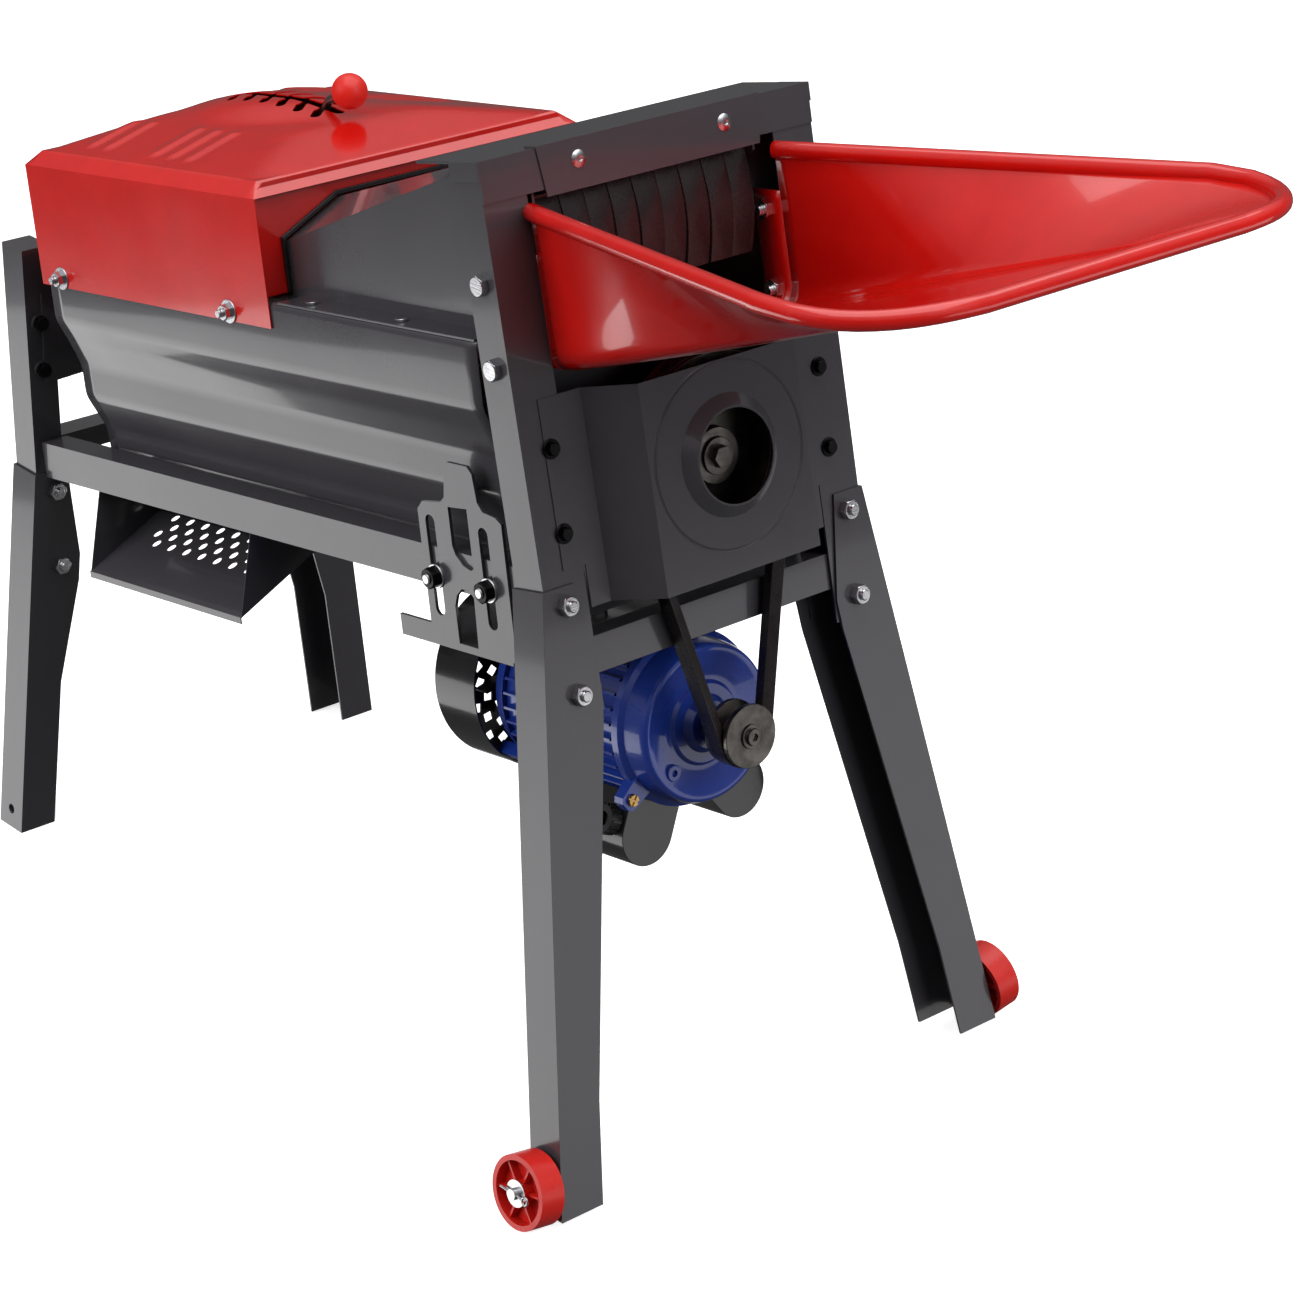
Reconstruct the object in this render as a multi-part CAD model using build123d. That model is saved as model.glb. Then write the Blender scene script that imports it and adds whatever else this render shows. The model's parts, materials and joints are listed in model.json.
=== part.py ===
from build123d import *
import math
import os

# ---------------------------------------------------------------------------
# Electric corn thresher. Millimetres, +Z up, the hopper end is +X.
# Three tilted frames are used: BODY (trough, rails, drum), FRONT (front posts
# and legs) and REAR (rear posts and legs). Feet stand on z = 0.
# ---------------------------------------------------------------------------

# where the frames stand
BODY_PITCH = 8.6            # the trough climbs this much towards the hopper
FRONT_LEAN = 3.8            # front posts lean back from the body's upright
REAR_LEAN = 10.0            # rear posts lean forward from the body's upright
BODY_HEIGHT = 523.8         # front leg joint above the ground
BODY_SHIFT = 195.3          # puts the origin under the middle of the outline
FRAME_LENGTH = 800.0        # front posts to rear posts, along the rails

WORLD = Location((0, 0, 0))
BODY = Location((BODY_SHIFT, 0, BODY_HEIGHT), (0, -BODY_PITCH, 0))
FRONT = BODY * Location((0, 0, 0), (0, -FRONT_LEAN, 0))
REAR = BODY * Location((-FRAME_LENGTH, 0, 0), (0, REAR_LEAN, 0))

# frame sections
HALF_WIDTH = 176.0          # outer face of the posts
PLATE = 2.0                 # posts and legs
SHEET = 1.2                 # covers, hood, hopper
POST_DEPTH = 36.0
FRONT_POST_WIDTH = 44.0
REAR_POST_WIDTH = 31.0
FRONT_POST_TOP = 350.0
REAR_POST_TOP = 208.0
FRONT_POST_FOOT = -112.0
REAR_POST_FOOT = -135.0
REAR_JOINT = -20.5
FRONT_FOOT_GAP = 9.5        # the wheels lift the front legs this much
LEG_GAP = 0.3               # leg to post
REAR_FLANGE_EXTRA = 13.0    # the legs' back flange is this much wider
FRONT_BOLTS_Z = (-16.0, -92.5)
REAR_BOLTS_Z = (-41.0, -121.0)
LEG_BOLT_Y = 157.0
RAIL_Y = 169.0
RAIL_TOP = 12.0
RAIL_HEIGHT = 35.0
RAIL_FLANGE = 28.0
RAIL_THICK = 3.0

# bolts: shank radius, width across flats, head height
M6 = (3.0, 10.0, 4.4)
M8 = (4.0, 13.0, 5.4)
M10 = (5.0, 16.0, 6.4)
HOLE_PLAY = 0.5             # a bolt's hole is this much larger in radius

# top beam, flap and curtain, front frame
BEAM_DEPTH = 82.0
BEAM_SKIRT = 32.0
BEAM_SHEET = 1.6
RIVET_Y = 78.0
RIVET_Z = 336.0
FLAP_HALF = 119.0
CURTAIN_X = -18.0
CURTAIN_Z = 312.0
CURTAIN_DROP = 98.0
CURTAIN_HALF = 114.0
CURTAIN_STRIPS = 9

# shelling drum and its drive, body frame
DRUM_Z = 75.0
DRUM_RADIUS = 78.0
DRUM_WALL = 2.0
DRUM_DISC = 4.0
TOOTH_TIP = 106.0
TOOTH_ROWS = 6
TEETH_PER_ROW = 9
DRUM_REAR = -690.0
DRUM_FRONT = -75.0
SHAFT_RADIUS = 12.5
SHAFT_REAR = -775.0
SHAFT_FRONT = 26.0
CONCAVE_RADIUS = 122.0      # inside
CONCAVE_SHEET = 2.0
BELT_X = 12.0               # middle plane of the belt
DRUM_PULLEY_RADIUS = 88.0
DRUM_PULLEY_HALF = 12.5
MOTOR_PULLEY_RADIUS = 28.0
MOTOR_PULLEY_HALF = 14.0
GROOVE_TOP = 8.9            # half width of the groove at the rim
GROOVE_FLOOR = 4.6
GROOVE_DEPTH = 12.0
BELT_DEPTH = 10.5
BELT_TOP = 8.6              # half width outside and inside
BELT_FLOOR = 4.7
BELT_PROUD = 1.0            # stands this much out of the grooves
RUN_CLEAR = 0.05            # radial clearance of the shafts in their bearings

# motor, body frame
MOTOR_Y = 7.0
MOTOR_Z = -175.0
BELL_FRONT = -30.0
FRAME_FRONT = -66.0
FRAME_REAR = -222.0
COWL_REAR = -311.0
COWL_FRONT = -253.0
MOTOR_RADIUS = 78.0
BORE_RADIUS = 66.0          # inside of the stator housing
COWL_RADIUS = 84.0
COWL_SHEET = 1.5
MOTOR_SHAFT = 9.5
FIN_COUNT = 36
LUG_ANGLES = (36, 126, 216, 306)
LUG_RADIUS = 90.0
PLUG_ANGLE = 128.0          # small drilled boss on the front dish
PLUG_RADIUS = 53.5
CAP_RADIUS = 28.7           # capacitor covers
CAP_CENTRE = 108.0
CAP_REAR = -172.0
CAP_FRONT = -72.0
CAP_NEAR = -25.0            # angles from straight below the motor
CAP_FAR = 36.0

# trough, hood, hopper, body frame
TROUGH_REAR = -717.0
TROUGH_FRONT = -52.0
TROUGH_TOP = 202.0
OUTLET_Y = (-128.0, 128.0)
OUTLET_Z = (118.0, 170.0)
GUSSET_BOLTS_Z = (135.0, 87.0)
GUSSET_BOLT_Y = 162.0
SHROUD_SIDE = 148.0
SHROUD_FRONT_X = -42.0      # in the front frame
SHROUD_SCREW_X = (-300.0, -170.0)
SHROUD_SCREW_Y = 163.0
HOOD_REAR = -727.0
HOOD_FRONT = -345.0
HOOD_SIDE = 178.5
HOOD_BOTTOM = 180.0
HOOD_EDGE = 295.0
HOOD_CREASE = 306.0
HOOD_ROOF = 326.0
HOOD_PAD = 332.0
STUD_X = (-690.0, -408.0)
STUD_Z = 189.0
LEVER_X = -565.0            # the lever's pivot
LEVER_Z = 228.0
LEVER_REST = 39.0           # forward of upright
LEVER_SHAFT = 7.0
LEVER_SHAFT_HALF = 150.0
SLOT_REAR = -650.0
SLOT_FRONT = -462.0
SLOT_HALF = 5.5
NOTCH_REACH = 22.0
NOTCHES = 6
HOPPER_HALF = 132.0
HOPPER_BOTTOM = 170.0
HOPPER_TOP = 301.0
HOPPER_GAP = 0.6            # hopper's root in front of the posts
HOPPER_BOLT_X = -18.0       # in the front frame
HOPPER_BOLTS_Z = (253.0, 184.0)
LIP_X = 490.0
LIP_Z = 288.0
LIP_HALF = 268.0
LIP_CORNER = 95.0
RIM_RADIUS = 8.0

# belt cover, front frame
COVER_DEPTH = 46.0
COVER_FACE_HALF = 85.0
COVER_BASE_HALF = 110.0
COVER_FLANGE_HALF = 153.0
COVER_TAB_HALF = 130.0
COVER_TOP = 155.0
COVER_STEP = 12.0           # below this the flange is only a tab
COVER_BOTTOM = -25.0
COVER_HOLE = 40.0
COVER_RING = 79.5
COVER_SCREWS = ((147.0, 113.0), (147.0, 42.0))

# grain chute, body frame
CHUTE_REAR = -704.0
CHUTE_FRONT = -444.0
CHUTE_MOUTH_Y = -188.0
CHUTE_MOUTH_Z = -99.5
CHUTE_LIP = 5.5
PERF_PITCH = 26.2
PERF_ROW = 10.8
PERF_RADIUS = 4.6

# motor carriage, body frame
BRACKET_Y = 172.0
BRACKET_BOLTS_X = (-152.0, -79.0)
BRACKET_BOLT_Z = -13.0
SEAT_Z = -73.0
SEAT_X = (-213.0, -57.0)
SEAT_BOLTS_X = (-104.0, -184.0)
SEAT_BOLTS_Y = 48.0
BRACKET_PLATE = 3.0
SLOT_ENDS_Z = (-48.0, 41.0)
SLOT_WIDTH = 12.5

# wheels
WHEEL_RADIUS = 33.0
WHEEL_WIDTH = 24.0
WHEEL_GAP = 5.0             # leg to wheel
WHEEL_TILT = 8.8            # the axle is square to the splayed leg
AXLE_X = 282.08
AXLE_Y = 253.5              # outer face of the leg at the axle
AXLE_RADIUS = 5.0
AXLE_GAP = 0.5              # head and collar to the leg
SPOKES = 6

os.makedirs("parts", exist_ok=True)


# ---------------------------------------------------------------------------
# small helpers
# ---------------------------------------------------------------------------

def save(node, shape, where=BODY):
    """Place a shape in the model frame and write it as one STEP file."""
    export_step(placed(shape, where), os.path.join("parts", node + ".step"))


def placed(shape, where):
    """The shape's solids moved to a frame."""
    return Compound([where * solid for solid in shape.solids()])


def group(shapes):
    """Keep several solids apart in one node."""
    solids = []
    for shape in shapes:
        solids.extend(shape.solids())
    return Compound(solids)


def both_sides(shape):
    """The shape and its mirror image across the middle plane."""
    return group([shape, mirror(shape, about=Plane.XZ)])


def along_x(points, x0, x1):
    """Extrude a (y, z) outline between two x positions."""
    outline = Plane.YZ.offset(x0) * Polygon(*points, align=None)
    return extrude(outline, x1 - x0, dir=(1, 0, 0))


def along_y(points, y0, y1):
    """Extrude an (x, z) outline between two y positions."""
    plane = Plane(origin=(0, y0, 0), x_dir=(1, 0, 0), z_dir=(0, -1, 0))
    return extrude(plane * Polygon(*points, align=None), y1 - y0, dir=(0, 1, 0))


def along_z(points, z0, z1):
    """Extrude an (x, y) outline between two z positions."""
    return extrude(Plane.XY.offset(z0) * Polygon(*points, align=None), z1 - z0, dir=(0, 0, 1))


def block(x0, x1, y0, y1, z0, z1):
    """A box given by its limits."""
    size = Box(x1 - x0, y1 - y0, z1 - z0)
    return Location(((x0 + x1) / 2, (y0 + y1) / 2, (z0 + z1) / 2)) * size


def rod_x(radius, x0, x1, y, z):
    """A cylinder along X."""
    turned = Location(((x0 + x1) / 2, y, z), (0, 90, 0))
    return turned * Cylinder(radius, x1 - x0)


def rod_y(radius, y0, y1, x, z):
    """A cylinder along Y."""
    turned = Location((x, (y0 + y1) / 2, z), (90, 0, 0))
    return turned * Cylinder(radius, y1 - y0)


def rod_z(radius, z0, z1, x, y):
    """A cylinder along Z."""
    return Location((x, y, (z0 + z1) / 2)) * Cylinder(radius, z1 - z0)


def offset_line(points, thickness):
    """Miter-offset an open line to its left by the thickness."""
    moved = []
    count = len(points)
    for i in range(count):
        normals = []
        if i > 0:
            normals.append(left_normal(points[i - 1], points[i]))
        if i < count - 1:
            normals.append(left_normal(points[i], points[i + 1]))
        nx = sum(n[0] for n in normals)
        ny = sum(n[1] for n in normals)
        length = math.hypot(nx, ny)
        nx, ny = nx / length, ny / length
        grow = thickness / (nx * normals[0][0] + ny * normals[0][1])
        moved.append((points[i][0] + nx * grow, points[i][1] + ny * grow))
    return moved


def left_normal(a, b):
    """Unit normal on the left of the way from a to b."""
    dx, dy = b[0] - a[0], b[1] - a[1]
    length = math.hypot(dx, dy)
    return (-dy / length, dx / length)


def strip(points, thickness):
    """Closed outline of a folded sheet drawn as an open line."""
    return points + list(reversed(offset_line(points, thickness)))


def hexagon_x(across, x0, x1, y, z):
    """A hexagonal prism along X."""
    face = Plane.YZ.offset(x0) * (Location((y, z)) * RegularPolygon(across / 2, 6, major_radius=False))
    return extrude(face, x1 - x0, dir=(1, 0, 0))


def hexagon_y(across, y0, y1, x, z):
    """A hexagonal prism along Y."""
    plane = Plane(origin=(x, y0, z), x_dir=(1, 0, 0), z_dir=(0, -1, 0))
    return extrude(plane * RegularPolygon(across / 2, 6, major_radius=False), y1 - y0, dir=(0, 1, 0))


def hexagon_z(across, z0, z1, x, y):
    """A hexagonal prism along Z."""
    face = Plane.XY.offset(z0) * (Location((x, y)) * RegularPolygon(across / 2, 6, major_radius=False))
    return extrude(face, z1 - z0, dir=(0, 0, 1))


# ---------------------------------------------------------------------------
# posts, legs, rails and crossbars
# ---------------------------------------------------------------------------

def channel_post(width, bottom, top):
    """Upright C channel on the near side, its open side inwards."""
    web = block(-POST_DEPTH, 0, -HALF_WIDTH, -HALF_WIDTH + PLATE, bottom, top)
    front = block(-PLATE, 0, -HALF_WIDTH, -HALF_WIDTH + width, bottom, top)
    back = block(-POST_DEPTH, -POST_DEPTH + PLATE, -HALF_WIDTH, -HALF_WIDTH + width, bottom, top)
    return web + front + back


def front_post():
    post = channel_post(FRONT_POST_WIDTH, FRONT_POST_FOOT, FRONT_POST_TOP)
    for z in FRONT_BOLTS_Z:
        post -= rod_x(M10[0] + HOLE_PLAY, -6, 2, -LEG_BOLT_Y, z)
    for y, z in COVER_SCREWS:
        post -= rod_x(M6[0] + HOLE_PLAY, -6, 2, -y, z)
    for z in HOPPER_BOLTS_Z:
        post -= rod_y(M10[0] + HOLE_PLAY, -HALF_WIDTH - 2, -HALF_WIDTH + 6, HOPPER_BOLT_X, z)
    return post


def rear_post():
    post = channel_post(REAR_POST_WIDTH, REAR_POST_FOOT, REAR_POST_TOP)
    inner_y = -HALF_WIDTH + REAR_POST_WIDTH
    post += block(-POST_DEPTH, 0, -HALF_WIDTH, inner_y, REAR_POST_TOP, REAR_POST_TOP + PLATE)
    for z in REAR_BOLTS_Z:
        post -= rod_x(M10[0] + HOLE_PLAY, -6, 2, -LEG_BOLT_Y, z)
    for z in GUSSET_BOLTS_Z:
        post -= rod_x(M8[0] + HOLE_PLAY, -6, 2, -GUSSET_BOLT_Y, z)
    return post


def leg(outer, inner, bolts, web_hole):
    """Splayed channel leg on the near side. The outlines run from top to bottom as (y, z)."""
    gap = PLATE + LEG_GAP
    front = along_x(outer + list(reversed(inner)), LEG_GAP, gap)
    wide = [(y + REAR_FLANGE_EXTRA, z) for y, z in inner]
    wide[0] = inner[0]
    back = along_x(outer + list(reversed(wide)), -POST_DEPTH - gap, -POST_DEPTH - LEG_GAP)
    web = along_x(strip(outer, PLATE), -POST_DEPTH - gap, gap)
    shape = front + back + web
    for z in bolts:
        shape -= rod_x(M10[0] + HOLE_PLAY, -2, 6, -LEG_BOLT_Y, z)
    y, z = web_hole
    return shape - rod_y(5, y - 15, y + 15, -POST_DEPTH / 2, z)


def cut_at_ground(shape, where, height):
    """Trim a leg level at a height above the ground."""
    return where * shape - block(-1000, 1000, -400, 400, -300, height)


def front_leg():
    outer = [(-HALF_WIDTH - LEG_GAP - PLATE, 0), (-260.5, -546)]
    inner = [(-145, 0), (-133, -92), (-136, -120), (-200, -437), (-215.5, -546)]
    return leg(outer, inner, FRONT_BOLTS_Z, (-248, -355))


def rear_leg():
    outer = [(-HALF_WIDTH - LEG_GAP - PLATE, REAR_JOINT), (-224.5, -430)]
    inner = [(-142, REAR_JOINT), (-133, -116), (-136, -144), (-164, -250), (-185, -430)]
    return leg(outer, inner, REAR_BOLTS_Z, (-222, -385))


def leg_bolt(z):
    """Hex bolt from inside the post with its nut on the leg's front face."""
    radius, across, height = M10
    y = -LEG_BOLT_Y
    start, face = -PLATE, PLATE + LEG_GAP
    shank = rod_x(radius, start, face + 11, y, z)
    head = hexagon_x(across, start - height, start, y, z)
    nut = hexagon_x(across, face, face + 8, y, z)
    return head + shank + nut


def rail():
    """Angle iron along the near side, flange on top."""
    line = [(-RAIL_Y + RAIL_FLANGE, RAIL_TOP), (-RAIL_Y, RAIL_TOP), (-RAIL_Y, RAIL_TOP - RAIL_HEIGHT)]
    shape = along_x(strip(line, RAIL_THICK), -FRAME_LENGTH + 5, -POST_DEPTH - 4)
    for x in BRACKET_BOLTS_X:
        shape -= rod_y(5.5, -RAIL_Y - 3, -RAIL_Y + 6, x, BRACKET_BOLT_Z)
    return shape


def front_crossbar():
    """Angle iron between the front posts, under the belt cover."""
    line = [(-30, -50), (-3, -50), (-3, -82)]
    inner_half = HALF_WIDTH - PLATE
    return along_y(strip(line, -3), -inner_half, inner_half)


def rear_crossbar():
    line = [(-30, 12), (-3, 12), (-3, -10)]
    inner_half = HALF_WIDTH - PLATE
    return along_y(strip(line, -3), -inner_half, inner_half)


def cap_beam():
    """Folded sheet that joins the front posts at the top."""
    top = FRONT_POST_TOP
    half = HALF_WIDTH
    roof = top + PLATE
    front = BEAM_SHEET
    plate = block(-BEAM_DEPTH, front, -half, half, top, roof)
    skirt = block(0, front, -half, half, top - BEAM_SKIRT, roof)
    rear = -BEAM_DEPTH
    back = along_y([(rear, roof), (rear - 8, roof - 7), (rear - 7, roof - 8.5), (rear + 2, top)], -150, 150)
    ear = block(-POST_DEPTH, front, -half - front, -half, top - 14, roof)
    beam = plate + skirt + back + ear + mirror(ear, about=Plane.XZ)
    for y in (-RIVET_Y, RIVET_Y):
        beam -= rod_x(3.2, -2, 4, y, RIVET_Z)
    return beam


def throat_flap():
    """Plate riveted over the middle of the top beam, its lower edge over the throat."""
    top = FRONT_POST_TOP
    roof, low = top + PLATE + BEAM_SHEET, top - 38
    narrow = FLAP_HALF - 5
    front = 2 * BEAM_SHEET
    face = [(-FLAP_HALF, roof), (-narrow, low), (narrow, low), (FLAP_HALF, roof)]
    flap = along_x(face, BEAM_SHEET, front) + block(-12, front, -FLAP_HALF, FLAP_HALF, top + PLATE, roof)
    for y in (-RIVET_Y, RIVET_Y):
        flap -= rod_x(3.2, -2, 6, y, RIVET_Z)
    return flap


def flap_rivet(y):
    """Pop rivet with a low conical head."""
    face = 2 * BEAM_SHEET
    shank = rod_x(3, -2, face + 1, y, RIVET_Z)
    cone = Cone(7.5, 4, 3, align=(Align.CENTER, Align.CENTER, Align.MIN))
    return shank + Location((face, y, RIVET_Z), (0, 90, 0)) * cone


def feed_curtain():
    """Rubber curtain on a hinge rod, slit into strips."""
    x, low = CURTAIN_X, CURTAIN_Z - CURTAIN_DROP
    rod = rod_y(3, -CURTAIN_HALF - 9, CURTAIN_HALF + 9, x, CURTAIN_Z)
    sheet = block(x - 2, x + 2, -CURTAIN_HALF, CURTAIN_HALF, low, CURTAIN_Z)
    pitch = 2 * CURTAIN_HALF / CURTAIN_STRIPS
    for i in range(1, CURTAIN_STRIPS):
        y = -CURTAIN_HALF + i * pitch
        sheet -= block(x - 5, x + 5, y - 0.6, y + 0.6, low - 1, CURTAIN_Z - 14)
    return rod + sheet


def curtain_ears():
    """Two hooks under the top beam that carry the curtain's rod."""
    y0 = CURTAIN_HALF + 3
    plate = block(CURTAIN_X - 7, CURTAIN_X + 7, y0, y0 + 2.5, CURTAIN_Z - 7, FRONT_POST_TOP)
    plate -= rod_y(3 + RUN_CLEAR, y0 - 2, y0 + 5, CURTAIN_X, CURTAIN_Z)
    return both_sides(plate)


# ---------------------------------------------------------------------------
# trough, concave and end plates
# ---------------------------------------------------------------------------

def trough_side():
    """Folded side sheet on the near side, flange at the top."""
    line = [(-SHROUD_SIDE + 4, TROUGH_TOP), (-HALF_WIDTH, TROUGH_TOP), (-HALF_WIDTH, 146),
            (-166, 127), (-166, 121), (-156, 97), (-156, 67), (-139, 31), (-136.5, -14)]
    side = along_x(strip(line, SHEET), TROUGH_REAR, TROUGH_FRONT)
    for x in STUD_X:
        side -= rod_y(4.5, -HALF_WIDTH - 2, -HALF_WIDTH + 4, x, STUD_Z)
    for x in SHROUD_SCREW_X:
        side -= rod_z(2.8, TROUGH_TOP - 4, TROUGH_TOP + 4, x, -SHROUD_SCREW_Y)
    return side


def concave():
    """Half-round trough bottom; the part over the chute is slotted."""
    outer = rod_x(CONCAVE_RADIUS + CONCAVE_SHEET, TROUGH_REAR + 3, TROUGH_FRONT - 3, 0, DRUM_Z)
    inner = rod_x(CONCAVE_RADIUS, TROUGH_REAR, TROUGH_FRONT, 0, DRUM_Z)
    upper = block(TROUGH_REAR - 5, TROUGH_FRONT + 5, -200, 200, DRUM_Z, DRUM_Z + 200)
    shell = outer - inner - upper
    ledge = block(TROUGH_REAR + 3, TROUGH_FRONT - 3, CONCAVE_RADIUS, 154.2, DRUM_Z, DRUM_Z + CONCAVE_SHEET)
    shell += ledge + mirror(ledge, about=Plane.XZ)
    slots = []
    for i in range(9):
        angle = -64 + 16 * i
        for k in range(8):
            middle = Location((CHUTE_REAR + 24 + 30 * k, 0, DRUM_Z)) * Rotation(angle, 0, 0)
            slots.append(middle * Location((0, 0, -CONCAVE_RADIUS - 1)) * Box(18, 11, 8))
    return shell - slots


def end_plate(x0, x1, top, half):
    """Plate that closes the trough and carries a bearing."""
    outline = [(-half, top), (-half, 97), (-153, 97), (-153, 68), (-136, 30), (-134, -14), (-100, -52),
               (100, -52), (134, -14), (136, 30), (153, 68), (153, 97), (half, 97), (half, top)]
    return along_x(outline, x0, x1)


def front_end_plate():
    plate = end_plate(TROUGH_FRONT + 0.2, TROUGH_FRONT + 3.2, 166, 153)
    plate -= rod_x(22, TROUGH_FRONT - 5, TROUGH_FRONT + 8, 0, DRUM_Z)
    for y, z in bearing_bolts():
        plate -= rod_x(4.5, TROUGH_FRONT - 5, TROUGH_FRONT + 8, y, z)
    return plate


def rear_end_plate():
    plate = end_plate(TROUGH_REAR - 3.2, TROUGH_REAR - 0.2, 178, 153)
    plate -= rod_x(22, TROUGH_REAR - 8, TROUGH_REAR + 5, 0, DRUM_Z)
    plate -= block(TROUGH_REAR - 8, TROUGH_REAR + 5, *OUTLET_Y, *OUTLET_Z)
    for y, z in bearing_bolts():
        plate -= rod_x(4.5, TROUGH_REAR - 8, TROUGH_REAR + 5, y, z)
    return plate


def rear_gusset():
    """Folded plate that ties the near rear post to the trough's end plate."""
    outline = [(-161, 72), (-159, 164), (-150, 159), (-105, 147), (-98, 99), (-116, 74), (-138, 73)]
    plate = along_x(outline, 0.2, 2.7)
    for z in GUSSET_BOLTS_Z:
        plate += rod_x(9, 0.2, 2.7, -GUSSET_BOLT_Y, z)
        plate -= rod_x(M8[0] + HOLE_PLAY, -4, 8, -GUSSET_BOLT_Y, z)
    lean_in = Location((FRAME_LENGTH, 0, 0))
    wall = TROUGH_REAR - 3.4
    tab = along_y([(-782, 99), (-774, 148), (wall, 148), (wall, 99)], -105, -102.5)
    turn = Location((0, 0, 0), (0, REAR_LEAN, 0)).inverse()
    return plate + turn * (lean_in * tab)


def gusset_bolt(z):
    """Black bolt through a rear post's front flange and the gusset."""
    radius, across, height = M8
    shank = rod_x(radius, -11, 2.7, -GUSSET_BOLT_Y, z)
    head = hexagon_x(across, 2.7, 2.7 + height, -GUSSET_BOLT_Y, z)
    nut = hexagon_x(across, -9, -2.6, -GUSSET_BOLT_Y, z)
    return shank + head + nut


def bearing_bolts():
    """Places of a bearing's two bolts, as (y, z)."""
    return [(-42, DRUM_Z), (42, DRUM_Z)]


def bearing(x0, x1):
    """Two-bolt flange bearing; x0 is its mounting face."""
    step = 1 if x1 > x0 else -1
    base = along_x([(-56, DRUM_Z - 12), (-26, DRUM_Z - 34), (26, DRUM_Z - 34), (56, DRUM_Z - 12),
                    (56, DRUM_Z + 12), (26, DRUM_Z + 34), (-26, DRUM_Z + 34), (-56, DRUM_Z + 12)],
                   min(x0, x0 + 10 * step), max(x0, x0 + 10 * step))
    boss = rod_x(28, min(x0, x1), max(x0, x1), 0, DRUM_Z)
    bore = rod_x(SHAFT_RADIUS + RUN_CLEAR, min(x0, x1) - 2, max(x0, x1) + 2, 0, DRUM_Z)
    housing = base + boss - bore
    for y, z in bearing_bolts():
        housing -= rod_x(4.5, min(x0, x1) - 2, max(x0, x1) + 2, y, z)
    return housing


def bearing_screws(x0, step):
    """Bolts of one bearing; x0 is the bearing's mounting face."""
    screws = []
    for y, z in bearing_bolts():
        outer = x0 + 10 * step
        tip = x0 - 9.5 * step
        shank = rod_x(4, min(outer, tip), max(outer, tip), y, z)
        head = hexagon_x(13, min(outer, outer + 5.5 * step), max(outer, outer + 5.5 * step), y, z)
        back = x0 - 3 * step
        nut = hexagon_x(13, min(back, back - 5.5 * step), max(back, back - 5.5 * step), y, z)
        screws.append(shank + head + nut)
    return group(screws)


# ---------------------------------------------------------------------------
# drum
# ---------------------------------------------------------------------------

def drum_shaft():
    return rod_x(SHAFT_RADIUS, SHAFT_REAR, SHAFT_FRONT - 4, 0, DRUM_Z)


def drum_body():
    """Drum tube with its two end discs, bored for the shaft."""
    tube = rod_x(DRUM_RADIUS, DRUM_REAR, DRUM_FRONT, 0, DRUM_Z)
    hollow = rod_x(DRUM_RADIUS - DRUM_WALL, DRUM_REAR + DRUM_DISC, DRUM_FRONT - DRUM_DISC, 0, DRUM_Z)
    bore = rod_x(SHAFT_RADIUS, DRUM_REAR - 1, DRUM_FRONT + 1, 0, DRUM_Z)
    return tube - hollow - bore


def drum_teeth():
    """Square teeth in staggered rows round the drum."""
    teeth = []
    pitch = (DRUM_FRONT - DRUM_REAR - 70) / TEETH_PER_ROW
    reach = TOOTH_TIP - DRUM_RADIUS
    for row in range(TOOTH_ROWS):
        for k in range(TEETH_PER_ROW):
            x = DRUM_REAR + 40 + pitch * (k + row / TOOTH_ROWS)
            turned = Location((x, 0, DRUM_Z)) * Rotation(row * 360 / TOOTH_ROWS, 0, 0)
            tooth = turned * Location((0, 0, DRUM_RADIUS + reach / 2)) * Box(22, 14, reach + 1.0)
            teeth.append(tooth - rod_x(DRUM_RADIUS, DRUM_REAR, DRUM_FRONT, 0, DRUM_Z))
    return group(teeth)


def ring_profile(points):
    """Spin an (axial, radial) outline about the X axis."""
    face = Plane.XY * Polygon(*points, align=None)
    return revolve(face, Axis.X)


def pulley(radius, bore, half_width, web_radius, hub_radius):
    """V pulley about the X axis, its groove at x = 0."""
    floor = radius - GROOVE_DEPTH
    rim = ring_profile([(-half_width, bore), (-half_width, radius), (-GROOVE_TOP, radius),
                        (-GROOVE_FLOOR, floor), (GROOVE_FLOOR, floor), (GROOVE_TOP, radius),
                        (half_width, radius), (half_width, bore)])
    if web_radius > 0:
        for x0, x1 in ((-half_width - 1, -3), (3, half_width + 1)):
            pocket = rod_x(web_radius, x0, x1, 0, 0) - rod_x(hub_radius, x0 - 1, x1 + 1, 0, 0)
            rim -= pocket
    return rim


def drum_pulley():
    """Large V pulley with a solid web."""
    wheel = pulley(DRUM_PULLEY_RADIUS, SHAFT_RADIUS, DRUM_PULLEY_HALF, 68.0, 24.0)
    return Location((BELT_X, 0, DRUM_Z)) * wheel


def drum_pulley_bolt():
    """Washer and hex bolt on the end of the drum shaft."""
    end = BELT_X + DRUM_PULLEY_HALF + 0.1
    washer = rod_x(16, end, end + 2.5, 0, DRUM_Z)
    head = hexagon_x(17, end + 2.5, end + 9, 0, DRUM_Z)
    return washer + head


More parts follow.
